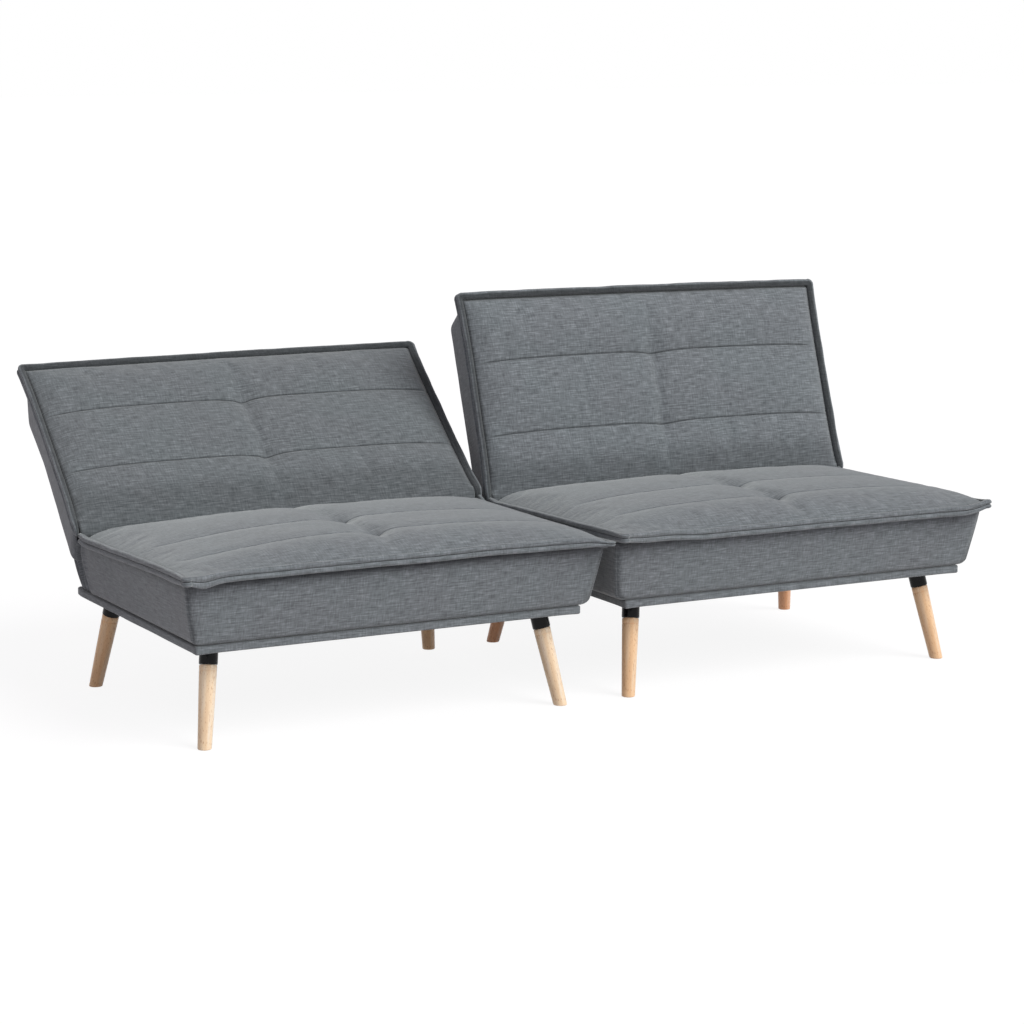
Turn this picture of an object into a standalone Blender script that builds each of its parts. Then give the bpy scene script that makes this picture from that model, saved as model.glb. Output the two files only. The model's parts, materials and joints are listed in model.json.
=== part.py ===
"""Split sofa bed: two armless modules side by side, each with a back that reclines on click-clack hinges.

Metres, +Z up, the front faces -Y. Each module is drawn about the floor point midway between its four feet,
and each back is drawn upright about its own pivot, then reclined to the notch that it rests in.
"""
import math

import bmesh
import bpy
from mathutils import Vector

# Clearance that pieces which touch keep from each other
GAP = 0.0003

# Whole sofa. A module's widths and depths follow from its width and from where its back turns
MODULE_PITCH = 0.915
PIVOT_Y = 0.2154
UPRIGHT_ANGLE = 18.67
FLAT_ANGLE = 90.0
NOTCH_STEPS = 11
REST_NOTCH = {"left": 5, "right": 0}

# Legs and ferrules
FOOT_FROM_BOARD_SIDE = 0.0228
FOOT_FROM_BOARD_FRONT = 0.03155
FOOT_FROM_BOARD_REAR = 0.02905
LEG_HEIGHT = 0.1516
LEG_FOOT_RADIUS = 0.0135
LEG_TOP_RADIUS = 0.017
LEG_SPLAY_ANGLE_X = 8.92
LEG_SPLAY_ANGLE_Y = 12.63
FOOT_CHAMFER = 0.0015
TENON_RADIUS = 0.010
TENON_LENGTH = 0.022
FERRULE_HEIGHT = 0.0375
FERRULE_RADIUS = 0.018
FERRULE_CHAMFER = 0.0012
ROUND_SIDES = 20

# Base board
BOARD_INSIDE_BOX = 0.0132
BOARD_BEHIND_BOX_FRONT = 0.0052
BOARD_BEHIND_PIVOT = 0.1079
BOARD_THICKNESS = 0.0227
BOARD_CORNER = 0.014
BOARD_EDGE = 0.004

# Seat box: fabric case that flares upwards
COVER_WALL = 0.005
COVER_CORNER = 0.010
BOX_REAR_AHEAD_OF_PIVOT = 0.003
SEAT_BOX_SIDE_INSET = 0.042
SEAT_BOX_LENGTH = 0.5434
SEAT_BOX_HEIGHT = 0.1166
SEAT_SIDE_FLARE_ANGLE = 10.3
SEAT_FRONT_FLARE_ANGLE = 12.8
SEAT_BOTTOM_ROUND = 0.018
SEAT_REAR_WALL_DROP = 0.031

# Piping: two rolls one above the other
WELT_WIDTH = 0.0119
WELT_HEIGHT = 0.0215
WELT_GROOVE = 0.0040
BACK_WELT_WIDTH = 0.0150

# Seat pad
SEAT_PAD_OVERHANG = 0.0335
SEAT_FRONT_DRAW_IN = 0.0235
SEAT_SIDE_DRAW_IN = 0.0115
SEAT_REAR_DRAW_IN = 0.005
SEAT_CROWN = 0.033
SEAT_FRONT_SEAM_FROM_EDGE = 0.1295
SEAT_REAR_SEAM_FROM_EDGE = 0.2865

# Back: depths are behind the pivot, heights are above it, both along the upright back
PIVOT_ABOVE_RIM = 0.0088
KNUCKLE_RADIUS = 0.038
KNUCKLE_WALL = 0.008
KNUCKLE_WRAP = 45.0
KNUCKLE_CLEARANCE = 0.0012
WRAP_BEYOND_BOX = 0.0045
BACK_SIDE_INSET = 0.0262
BACK_HEIGHT = 0.4147
BACK_SIDE_DRAW_IN = 0.004
BACK_CROWN = 0.016
BACK_UPPER_SEAM = 0.279
BACK_LOWER_SEAM = 0.1226
BACK_REAR_DEPTH = 0.112
BACK_REAR_SIDE_DRAW_IN = 0.0213
BACK_REAR_DROP = 0.020
BACK_REAR_ROUND = 0.028
BACK_COVER_INSET = 0.0013
BACK_COVER_CORNER = 0.016
BACK_COVER_INSIDE_KNUCKLE = 0.005

# How deep the sewn channels and the tufts pull into a pad, and how wide they spread
CHANNEL_DEPTH = 0.005
CENTRE_CHANNEL_DEPTH = 0.003
CHANNEL_SPREAD = 0.016
CENTRE_CHANNEL_SPREAD = 0.022
TUFT_DEPTH = 0.009
TUFT_SPREAD = 0.034
EDGE_ROUNDNESS = 5.0
# Power of the curve that a pad's edge follows between its corners: the higher, the straighter its middle
SEAT_EDGE_POWER = 6
BACK_EDGE_POWER = 4
# Smallest share of a corner's radius that a case keeps where its outline is moved in
LEAST_CORNER = 0.3

# Seat frame
RAIL_THICKNESS = 0.025
RAIL_INSET = 0.0055
RAIL_FRONT_INSET = 0.026
RAIL_AHEAD_OF_PIVOT = 0.0454
RAIL_EDGE = 0.002
SPRING_WIRE = 0.0018
SPRING_WIDTH = 0.050
SPRING_OFFSET = 0.130
SPRING_WAVES = 7

# Back board
BACK_BOARD_THICKNESS = 0.022
BACK_BOARD_ABOVE_PIVOT = 0.034
BACK_BOARD_BELOW_TOP = 0.018

# Fabric skirt that closes the gap between the back's lower edge and the base board
SKIRT_BACK_REACH = 0.084
SKIRT_BULGE = 0.008
SKIRT_BOARD_INSET = 0.004
SKIRT_INSIDE_BACK = 0.005
SKIRT_TOP_DROP = 0.039

# Hinge plates, pivot rod and pawl
PLATE_THICKNESS = 0.003
PLATE_GAP = 0.0006
ROD_RADIUS = 0.005
ROD_HEAD_RADIUS = 0.009
ROD_HEAD_HEIGHT = 0.004
ROD_SIDES = 12
EYE_RADIUS = 0.016
SECTOR_ROOT = 0.0215
SECTOR_CREST = 0.0245
SECTOR_START = 247.0
SECTOR_TEETH = 13
TOOTH_RISE = 0.25
BACK_ARM_LENGTH = 0.150
BACK_ARM_WIDTH = 0.0215
PAWL_CLEARANCE = 0.0004
PAWL_TIP_ANGLE = 225.0
PAWL_PIVOT = (-0.01505, -0.04135)
PAWL_BOSS_RADIUS = 0.0055
PAWL_TIP_BACK = (-0.0058, 0.0010)
PAWL_SHOULDER = (0.0030, 0.0152)
PAWL_STUD_RADIUS = 0.0025

# Levels that follow from the sizes above
BOARD_BOTTOM = LEG_HEIGHT + FERRULE_HEIGHT + 2 * GAP
BOARD_TOP = BOARD_BOTTOM + BOARD_THICKNESS
BOX_BOTTOM = BOARD_TOP + GAP
RIM = BOX_BOTTOM + SEAT_BOX_HEIGHT
WELT_BOTTOM = RIM + GAP
WELT_TOP = WELT_BOTTOM + WELT_HEIGHT
PAD_BOTTOM = RIM + 2 * GAP
RAIL_TOP = PAD_BOTTOM - 2 * GAP - 2 * SPRING_WIRE
PIVOT_Z = RIM + PIVOT_ABOVE_RIM
SEAT_REAR = PIVOT_Y - KNUCKLE_RADIUS - KNUCKLE_CLEARANCE
BOX_REAR = PIVOT_Y - BOX_REAR_AHEAD_OF_PIVOT
BOX_FLOOR = BOX_BOTTOM + COVER_WALL

# Depths that follow from the seat box and the pivot
SEAT_BOX_FRONT = BOX_REAR - SEAT_BOX_LENGTH
SEAT_PAD_FRONT = SEAT_BOX_FRONT - SEAT_PAD_OVERHANG
SEAT_FRONT_SEAM = SEAT_PAD_FRONT + SEAT_FRONT_SEAM_FROM_EDGE
SEAT_REAR_SEAM = SEAT_PAD_FRONT + SEAT_REAR_SEAM_FROM_EDGE
BOARD_FRONT = SEAT_BOX_FRONT + BOARD_BEHIND_BOX_FRONT
BOARD_REAR = PIVOT_Y + BOARD_BEHIND_PIVOT
RAIL_REAR = PIVOT_Y - RAIL_AHEAD_OF_PIVOT

# Widths that follow from the module's pitch
SEAT_CORNER_HALF_WIDTH = MODULE_PITCH / 2 - GAP - WELT_WIDTH - GAP
SEAT_BOX_HALF_WIDTH = MODULE_PITCH / 2 - SEAT_BOX_SIDE_INSET
BOARD_HALF_WIDTH = SEAT_BOX_HALF_WIDTH - BOARD_INSIDE_BOX
FOOT_HALF_SPACING = BOARD_HALF_WIDTH - FOOT_FROM_BOARD_SIDE
BACK_HALF_WIDTH = MODULE_PITCH / 2 - BACK_SIDE_INSET
BACK_REAR_HALF_WIDTH = BACK_HALF_WIDTH - BACK_REAR_SIDE_DRAW_IN
SKIRT_HALF_WIDTH = BACK_REAR_HALF_WIDTH - SKIRT_INSIDE_BACK
RAIL_OUTER = SEAT_BOX_HALF_WIDTH - COVER_WALL - RAIL_INSET
RAIL_INNER = RAIL_OUTER - RAIL_THICKNESS
RAIL_FRONT = SEAT_BOX_FRONT + COVER_WALL + RAIL_FRONT_INSET
SEAT_PLATE = (RAIL_INNER - GAP - PLATE_THICKNESS, RAIL_INNER - GAP)
BACK_PLATE = (SEAT_PLATE[0] - PLATE_GAP - PLATE_THICKNESS, SEAT_PLATE[0] - PLATE_GAP)
BACK_BOARD_HALF_WIDTH = BACK_PLATE[0] - GAP
BACK_FACE = -KNUCKLE_RADIUS
BACK_PAD_REAR = BACK_FACE + WELT_HEIGHT
BACK_COVER_FRONT = BACK_PAD_REAR + GAP
BACK_BOARD_FRONT = BACK_PAD_REAR + GAP
WRAP_HALF_WIDTH = SEAT_BOX_HALF_WIDTH + WRAP_BEYOND_BOX

# Columns of a pad, from its left edge to its right edge, closer at the edges and at the tufts
RIGHT_COLUMNS = (0.06, 0.15, 0.30, 0.52, 0.75, 0.90, 0.97, 1.0)
COLUMNS = (*[-share for share in RIGHT_COLUMNS[::-1]], 0.0, *RIGHT_COLUMNS)
# Places across one channelled panel where a pad has a row
PANEL_ROWS = (0.07, 0.22, 0.5, 0.78, 0.93)


def clear_scene():
    for old in list(bpy.data.objects):
        bpy.data.objects.remove(old, do_unlink=True)


def material(name, colour, roughness, metallic=0.0):
    made = bpy.data.materials.new(name)
    made.use_nodes = True
    shader = made.node_tree.nodes["Principled BSDF"]
    shader.inputs["Base Color"].default_value = (*colour, 1.0)
    shader.inputs["Roughness"].default_value = roughness
    shader.inputs["Metallic"].default_value = metallic
    made.diffuse_color = (*colour, 1.0)
    return made


def empty(name, parent=None, location=(0.0, 0.0, 0.0)):
    made = bpy.data.objects.new(name, None)
    bpy.context.scene.collection.objects.link(made)
    made.location = location
    made.parent = parent
    return made


def piece(name, bm, finish, parent, location=(0.0, 0.0, 0.0), smooth_angle=40.0):
    """Turns a bmesh into a named object with outward normals."""
    bmesh.ops.recalc_face_normals(bm, faces=bm.faces)
    mesh = bpy.data.meshes.new(name)
    bm.to_mesh(mesh)
    bm.free()
    mesh.materials.append(finish)
    mesh.shade_smooth()
    mesh.set_sharp_from_angle(angle=math.radians(smooth_angle))
    made = bpy.data.objects.new(name, mesh)
    bpy.context.scene.collection.objects.link(made)
    made.parent = parent
    made.location = location
    return made


def loft(rings):
    """A closed body through rings of equally many points, capped at both ends."""
    bm = bmesh.new()
    loops = [[bm.verts.new(point) for point in ring] for ring in rings]
    count = len(rings[0])
    for lower, upper in zip(loops, loops[1:]):
        for k in range(count):
            bm.faces.new((lower[k], lower[(k + 1) % count], upper[(k + 1) % count], upper[k]))
    bm.faces.new(loops[0])
    bm.faces.new(loops[-1])
    return bm


def block(low, high, edge):
    """A box between two corners, with its edges taken off."""
    bm = bmesh.new()
    bmesh.ops.create_cube(bm, size=1.0)
    for vert in bm.verts:
        for axis in range(3):
            vert.co[axis] = high[axis] if vert.co[axis] > 0 else low[axis]
    bmesh.ops.bevel(bm, geom=bm.edges[:], offset=edge, segments=1, affect="EDGES", profile=0.5, material=-1)
    return bm


def polar(radius, degrees, centre=(0.0, 0.0)):
    """The point of a plane at a distance and a direction from a centre."""
    angle = math.radians(degrees)
    return (centre[0] + radius * math.cos(angle), centre[1] + radius * math.sin(angle))


def arc(centre, radius, start, end, steps):
    """Points of an arc in a plane, angles in degrees, both ends included."""
    return [polar(radius, start + (end - start) * k / steps, centre) for k in range(steps + 1)]


def rounded_rectangle(low_x, high_x, low_y, high_y, radius, steps=3):
    """Corner points counter-clockwise from the lower right corner."""
    corners = (
        (high_x - radius, low_y + radius, -90),
        (high_x - radius, high_y - radius, 0),
        (low_x + radius, high_y - radius, 90),
        (low_x + radius, low_y + radius, 180),
    )
    points = []
    for x, y, start in corners:
        points += arc((x, y), radius, start, start + 90, steps)
    return points


def turned_leg_rings(profile, foot, splay):
    """Rings of a round piece about a splayed axis, one for each (height, radius) of the profile."""
    lean = Vector((splay[0], splay[1]))
    stretch = math.sqrt(1.0 + lean.length_squared)
    along = lean.normalized()
    across = Vector((-along.y, along.x))
    rings = []
    for height, radius in profile:
        centre = Vector(foot) + lean * height
        ring = []
        for k in range(ROUND_SIDES):
            angle = 2 * math.pi * k / ROUND_SIDES
            flat = centre + along * (radius * stretch * math.cos(angle)) + across * (radius * math.sin(angle))
            ring.append((flat.x, flat.y, height))
        rings.append(ring)
    return rings


def add_leg(prefix, place, side, end, parent, finishes):
    """One leg with its tenon, and the black ferrule that the tenon plugs into."""
    depth = BOARD_FRONT + FOOT_FROM_BOARD_FRONT if end < 0 else BOARD_REAR - FOOT_FROM_BOARD_REAR
    foot = (side * FOOT_HALF_SPACING, depth)
    splay_x = math.tan(math.radians(LEG_SPLAY_ANGLE_X))
    splay_y = math.tan(math.radians(LEG_SPLAY_ANGLE_Y))
    splay = (-side * splay_x, -end * splay_y)
    leg_profile = (
        (0.0, LEG_FOOT_RADIUS - FOOT_CHAMFER),
        (FOOT_CHAMFER, LEG_FOOT_RADIUS),
        (LEG_HEIGHT, LEG_TOP_RADIUS),
        (LEG_HEIGHT, TENON_RADIUS),
        (LEG_HEIGHT + TENON_LENGTH, TENON_RADIUS),
    )
    piece(f"{prefix}_leg_{place}", loft(turned_leg_rings(leg_profile, foot, splay)), finishes["wood"], parent)
    ferrule_bottom = LEG_HEIGHT + GAP
    ferrule_profile = (
        (LEG_HEIGHT + TENON_LENGTH + GAP, TENON_RADIUS + GAP),
        (ferrule_bottom, TENON_RADIUS + GAP),
        (ferrule_bottom, FERRULE_RADIUS - FERRULE_CHAMFER),
        (ferrule_bottom + FERRULE_CHAMFER, FERRULE_RADIUS),
        (BOARD_BOTTOM - GAP, FERRULE_RADIUS),
    )
    rings = turned_leg_rings(ferrule_profile, foot, splay)
    piece(f"{prefix}_ferrule_{place}", loft(rings), finishes["black_metal"], parent)


def add_base_board(prefix, parent, finishes):
    rings = []
    for height, inset in ((0.0, BOARD_EDGE), (BOARD_EDGE, 0.0), (BOARD_THICKNESS - BOARD_EDGE, 0.0),
                          (BOARD_THICKNESS, BOARD_EDGE)):
        half = BOARD_HALF_WIDTH - inset
        outline = rounded_rectangle(-half, half, BOARD_FRONT + inset, BOARD_REAR - inset, BOARD_CORNER)
        rings.append([(x, y, BOARD_BOTTOM + height) for x, y in outline])
    piece(f"{prefix}_base_board", loft(rings), finishes["fabric"], parent)


def seat_box_outline(height, inset):
    """Outline of the flared seat box at a height above its bottom, moved in by inset."""
    half = SEAT_BOX_HALF_WIDTH + math.tan(math.radians(SEAT_SIDE_FLARE_ANGLE)) * height - inset
    front = SEAT_BOX_FRONT - math.tan(math.radians(SEAT_FRONT_FLARE_ANGLE)) * height + inset
    corner = max(COVER_CORNER - inset, LEAST_CORNER * COVER_CORNER)
    return rounded_rectangle(-half, half, front, BOX_REAR - inset, corner)


def add_seat_cover(prefix, parent, finishes):
    """Open-topped fabric case. Its rear wall is lower, to leave room for the back's round lower edge."""
    rings = []
    for k in range(4):
        angle = math.radians(30 * k)
        height = SEAT_BOTTOM_ROUND * (1 - math.cos(angle))
        outline = seat_box_outline(height, SEAT_BOTTOM_ROUND * (1 - math.sin(angle)))
        rings.append([(x, y, BOX_BOTTOM + height) for x, y in outline])
    for inset in (0.0, COVER_WALL):
        rim = []
        for x, y in seat_box_outline(SEAT_BOX_HEIGHT, inset):
            to_rear = min(max((y - (BOX_REAR - COVER_CORNER)) / (COVER_CORNER - COVER_WALL), 0.0), 1.0)
            rim.append((x, y, RIM - SEAT_REAR_WALL_DROP * to_rear))
        rings.append(rim)
    floor = seat_box_outline(COVER_WALL, COVER_WALL + SEAT_BOTTOM_ROUND / 3)
    rings.append([(x, y, BOX_FLOOR) for x, y in floor])
    piece(f"{prefix}_seat_cover", loft(rings), finishes["fabric"], parent)


def pad_rows(start, end, seams):
    """Stations from one end of a pad to the other: its ends, its seams and rows across each panel."""
    bounds = [start, *seams, end]
    rows = [start]
    for low, high in zip(bounds, bounds[1:]):
        rows += [low + (high - low) * share for share in PANEL_ROWS]
        rows.append(high)
    return rows


def edge_fade(share):
    """1 in the middle of a pad and 0 at its edges, for a place from -1 to 1 across it."""
    return math.sqrt(max(1.0 - abs(share) ** EDGE_ROUNDNESS, 0.0))


def pull_in(x, along, seams):
    """How far the sewn channels and tufts pull a pad's face in, at x across it and at a place along it."""
    depth = CENTRE_CHANNEL_DEPTH * math.exp(-((x / CENTRE_CHANNEL_SPREAD) ** 2))
    for seam in seams:
        depth += CHANNEL_DEPTH * math.exp(-(((along - seam) / CHANNEL_SPREAD) ** 2))
        depth += TUFT_DEPTH * math.exp(-((x / TUFT_SPREAD) ** 2 + ((along - seam) / TUFT_SPREAD) ** 2))
    return depth


def seat_outline_point(u, v):
    """A point of the seat pad's plan: u from -1 at the left to 1 at the right, v from 0 at the front to 1."""
    front = SEAT_PAD_FRONT - SEAT_FRONT_DRAW_IN * abs(u) ** SEAT_EDGE_POWER
    half = SEAT_CORNER_HALF_WIDTH - SEAT_SIDE_DRAW_IN
    half += SEAT_SIDE_DRAW_IN * (1 - v) ** SEAT_EDGE_POWER
    half += (SEAT_SIDE_DRAW_IN - SEAT_REAR_DRAW_IN) * v ** SEAT_EDGE_POWER
    return u * half, front * (1 - v) + SEAT_REAR * v


def seat_shares():
    """The pad's rows as shares of its depth."""
    rows = pad_rows(SEAT_PAD_FRONT, SEAT_REAR, (SEAT_FRONT_SEAM, SEAT_REAR_SEAM))
    return [(y - SEAT_PAD_FRONT) / (SEAT_REAR - SEAT_PAD_FRONT) for y in rows]


def add_seat_pad(prefix, parent, finishes):
    """Crowned, channelled and tufted cushion, whose outline is drawn in between its corners."""
    bm = bmesh.new()
    grid = []
    for v in seat_shares():
        row = []
        for u in COLUMNS:
            x, y = seat_outline_point(u, v)
            fade = edge_fade(u) * edge_fade(2 * v - 1)
            rise = (SEAT_CROWN - pull_in(x, y, (SEAT_FRONT_SEAM, SEAT_REAR_SEAM))) * fade
            row.append(bm.verts.new((x, y, WELT_TOP + rise)))
        grid.append(row)
    for near, far in zip(grid, grid[1:]):
        for k in range(len(COLUMNS) - 1):
            bm.faces.new((near[k], near[k + 1], far[k + 1], far[k]))
    rim = grid[0] + [row[-1] for row in grid[1:-1]] + grid[-1][::-1] + [row[0] for row in grid[-2:0:-1]]
    foot = [bm.verts.new((vert.co.x, vert.co.y, PAD_BOTTOM)) for vert in rim]
    for k in range(len(rim)):
        after = (k + 1) % len(rim)
        bm.faces.new((rim[k], rim[after], foot[after], foot[k]))
    bm.faces.new(foot)
    piece(f"{prefix}_seat_pad", bm, finishes["fabric"], parent)


def welt_section(width, height):
    """Outline of two rolls, one above the other, as (outwards, upwards) from the inner lower edge."""
    half = height / 2
    groove = width - WELT_GROOVE
    lower = ((0.0, 0.0), (0.6 * width, 0.0), (width, 0.45 * half), (groove, half))
    upper = tuple((out, height - up) for out, up in lower[-2::-1])
    return lower + upper


def welt(path, width, place):
    """Sweeps the double roll along an open path in a plane, to the left of its direction.

    Its corners are mitred, and their tips reach no further out than the roll's width along either axis.
    place turns (across, along, depth) into the object's axes.
    """
    section = welt_section(width, WELT_HEIGHT)
    rings = []
    for k, point in enumerate(path):
        here = Vector(point)
        before = (here - Vector(path[k - 1])).normalized() if k else None
        after = (Vector(path[k + 1]) - here).normalized() if k + 1 < len(path) else None
        sides = [Vector((-step.y, step.x)) for step in (before, after) if step is not None]
        bisector = sum(sides, Vector((0.0, 0.0))).normalized()
        mitre = bisector / bisector.dot(sides[0])
        mitre = Vector((min(max(mitre.x, -1.0), 1.0), min(max(mitre.y, -1.0), 1.0)))
        rings.append([place(*(here + mitre * (GAP + out)), up) for out, up in section])
    return loft(rings)


def add_seat_welt(prefix, parent, finishes):
    """Piping forward along the seat's right side, across its front and back along its left side."""
    shares = seat_shares()[:-1]
    path = [seat_outline_point(1.0, v) for v in shares[::-1]]
    path += [seat_outline_point(u, 0.0) for u in COLUMNS[-2:0:-1]]
    path += [seat_outline_point(-1.0, v) for v in shares]
    bm = welt(path, WELT_WIDTH, lambda x, y, up: (x, y, WELT_BOTTOM + up))
    piece(f"{prefix}_seat_welt", bm, finishes["fabric"], parent)


def back_half_width(height):
    """Half width of the back pad at a height above the pivot, drawn in between its corners."""
    share = 2 * height / BACK_HEIGHT - 1
    return BACK_HALF_WIDTH - BACK_SIDE_DRAW_IN * (1 - share ** BACK_EDGE_POWER)


def back_heights():
    return pad_rows(BACK_HEIGHT, 0.0, (BACK_UPPER_SEAM, BACK_LOWER_SEAM))


def add_back_pad(prefix, parent, finishes):
    """Cushion on the front of the back, which wraps the hinge at its lower end as a thin round edge."""
    inner = KNUCKLE_RADIUS - KNUCKLE_WALL
    rings = []
    for height in back_heights()[:-1]:
        half = back_half_width(height)
        rear = BACK_PAD_REAR
        if inner ** 2 - height ** 2 > BACK_PAD_REAR ** 2:
            rear = -math.sqrt(inner ** 2 - height ** 2)
        front = []
        for u in COLUMNS:
            fade = edge_fade(u) * edge_fade(2 * height / BACK_HEIGHT - 1)
            crown = BACK_CROWN - pull_in(u * half, height, (BACK_UPPER_SEAM, BACK_LOWER_SEAM))
            front.append((u * half, BACK_FACE - crown * fade, height))
        rings.append(front + [(half, rear, height), (-half, rear, height)])
    wrap_steps = 3
    for k in range(wrap_steps + 1):
        angle = math.radians(180 + KNUCKLE_WRAP * k / wrap_steps)
        half = WRAP_HALF_WIDTH
        outer_y, outer_z = KNUCKLE_RADIUS * math.cos(angle), KNUCKLE_RADIUS * math.sin(angle)
        inner_y, inner_z = inner * math.cos(angle), inner * math.sin(angle)
        front = [(u * half, outer_y, outer_z) for u in COLUMNS]
        rings.append(front + [(half, inner_y, inner_z), (-half, inner_y, inner_z)])
    piece(f"{prefix}_back_pad", loft(rings), finishes["fabric"], parent)


def add_back_welt(prefix, parent, finishes):
    """Piping up the left side of the back, along its top and down its right side, seen from the front."""
    heights = back_heights()[:-1]
    path = [(-back_half_width(height), height) for height in heights[::-1]]
    path += [(u * back_half_width(BACK_HEIGHT), BACK_HEIGHT) for u in COLUMNS[1:-1]]
    path += [(back_half_width(height), height) for height in heights]
    bm = welt(path, BACK_WELT_WIDTH, lambda x, height, depth: (x, BACK_FACE + depth, height))
    piece(f"{prefix}_back_welt", bm, finishes["fabric"], parent)


def back_cover_outline(depth, inset):
    """Outline of the back's case at a depth behind its front rim, moved in by inset."""
    share = depth / (BACK_REAR_DEPTH - BACK_COVER_FRONT)
    rim_half = BACK_HALF_WIDTH - BACK_COVER_INSET
    half = rim_half + (BACK_REAR_HALF_WIDTH - rim_half) * share - inset
    top = BACK_HEIGHT - BACK_COVER_INSET - BACK_REAR_DROP * share - inset
    corner = max(BACK_COVER_CORNER - inset, LEAST_CORNER * BACK_COVER_CORNER)
    return rounded_rectangle(-half, half, inset, top, corner)


def add_back_cover(prefix, parent, finishes):
    """Case behind the cushion, open at the front. Its lower wall starts behind the hinge."""
    depth = BACK_REAR_DEPTH - BACK_COVER_FRONT
    hinge_room = KNUCKLE_RADIUS - BACK_COVER_INSIDE_KNUCKLE - BACK_COVER_FRONT
    rings = []
    for k in range(4):
        angle = math.radians(30 * k)
        behind = depth - BACK_REAR_ROUND * (1 - math.cos(angle))
        outline = back_cover_outline(behind, BACK_REAR_ROUND * (1 - math.sin(angle)))
        rings.append([(x, BACK_COVER_FRONT + behind, z) for x, z in outline])
    for inset in (0.0, COVER_WALL):
        rim = []
        for x, z in back_cover_outline(0.0, inset):
            low = min(max(1.0 - (z - inset) / (BACK_COVER_CORNER - COVER_WALL), 0.0), 1.0)
            rim.append((x, BACK_COVER_FRONT + hinge_room * low, z))
        rings.append(rim)
    inner = back_cover_outline(depth - COVER_WALL, COVER_WALL + BACK_REAR_ROUND / 3)
    rings.append([(x, BACK_REAR_DEPTH - COVER_WALL, z) for x, z in inner])
    piece(f"{prefix}_back_cover", loft(rings), finishes["fabric"], parent)


def add_seat_frame(prefix, parent, finishes):
    """Two side rails and two cross rails on the seat box's floor, and zigzag springs on the cross rails."""
    bottom = BOX_FLOOR + GAP
    for side, name in ((-1, "left"), (1, "right")):
        low_x, high_x = sorted((side * RAIL_INNER, side * RAIL_OUTER))
        bm = block((low_x, RAIL_FRONT, bottom), (high_x, RAIL_REAR, RAIL_TOP), RAIL_EDGE)
        piece(f"{prefix}_seat_rail_{name}", bm, finishes["timber"], parent)
    front_half = RAIL_INNER - GAP
    rear_half = SEAT_PLATE[0] - GAP
    rear_start = RAIL_REAR - RAIL_THICKNESS
    for name, half, start in (("front", front_half, RAIL_FRONT), ("rear", rear_half, rear_start)):
        bm = block((-half, start, bottom), (half, start + RAIL_THICKNESS, RAIL_TOP), RAIL_EDGE)
        piece(f"{prefix}_seat_rail_{name}", bm, finishes["timber"], parent)
    for side, name in ((-1, "left"), (1, "right")):
        add_spring(f"{prefix}_seat_spring_{name}", side * SPRING_OFFSET, parent, finishes)


def add_spring(name, centre_x, parent, finishes):
    """Zigzag wire spring, from the middle of the front rail's top to the middle of the rear rail's top."""
    start = RAIL_FRONT + RAIL_THICKNESS / 2
    end = RAIL_REAR - RAIL_THICKNESS / 2
    height = RAIL_TOP + GAP + SPRING_WIRE
    points = []
    step = (end - start) / SPRING_WAVES
    for wave in range(SPRING_WAVES):
        for share, swing in ((0.0, 0.0), (0.13, 0.5), (0.37, 0.5), (0.63, -0.5), (0.87, -0.5)):
            points.append((centre_x + SPRING_WIDTH * swing, start + step * (wave + share), height))
    points.append((centre_x, end, height))
    curve = bpy.data.curves.new(name, "CURVE")
    curve.dimensions = "3D"
    curve.bevel_depth = SPRING_WIRE
    curve.bevel_resolution = 0
    curve.use_fill_caps = True
    spline = curve.splines.new("POLY")
    spline.points.add(len(points) - 1)
    for point, place in zip(spline.points, points):
        point.co = (*place, 1.0)
    curve.materials.append(finishes["spring_steel"])
    made = bpy.data.objects.new(name, curve)
    bpy.context.scene.collection.objects.link(made)
    made.parent = parent


def add_back_board(prefix, parent, finishes):
    half = BACK_BOARD_HALF_WIDTH
    low = (-half, BACK_BOARD_FRONT, BACK_BOARD_ABOVE_PIVOT)
    high = (half, BACK_BOARD_FRONT + BACK_BOARD_THICKNESS, BACK_HEIGHT - BACK_BOARD_BELOW_TOP)
    piece(f"{prefix}_back_board", block(low, high, RAIL_EDGE), finishes["timber"], parent)


def plate(side, faces, outline, holes=(), stud=None):
    """Flat plate seen along X, with round holes, and a stud that stands on its inner face.

    faces is (inner, outer) distance from the middle; holes are (centre, radius); stud adds its length.
    """
    bm = bmesh.new()
    loops = [outline] + [arc(centre, radius, 0, 330, 11) for centre, radius in holes]
    if stud:
        loops.append(arc(stud[0], stud[1], 0, 330, 11))
    sheets = []
    for distance in faces:
        rings = [[bm.verts.new((side * distance, y, z)) for y, z in loop] for loop in loops]
        edges = []
        for ring in rings:
            edges += [bm.edges.new((ring[k - 1], ring[k])) for k in range(len(ring))]
        bmesh.ops.triangle_fill(bm, use_beauty=True, use_dissolve=False, edges=edges)
        sheets.append(rings)
    inner, outer = sheets
    walls = list(zip(inner, outer))
    if stud:
        end = [bm.verts.new((vert.co.x - side * stud[2], vert.co.y, vert.co.z)) for vert in inner[-1]]
        walls[-1] = (inner[-1], end)
        bm.faces.new(end)
        bm.faces.new(outer[-1])
    for first, second in walls:
        for k in range(len(first)):
            bm.faces.new((first[k - 1], first[k], second[k], second[k - 1]))
    return bm


def seat_bracket_outline():
    """Seat plate about the pivot: an eye, and an arm that reaches down and forwards to the side rail."""
    arm = [(-0.024, -0.024), (-0.048, -0.032), (-0.062, -0.022), (-0.130, -0.022), (-0.130, -0.065),
           (-0.050, -0.078), (-0.020, -0.066), (-0.0095, -0.046), (-0.0095, -0.040)]
    return arc((0.0, 0.0), EYE_RADIUS, -35, 200, 10) + arm


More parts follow.
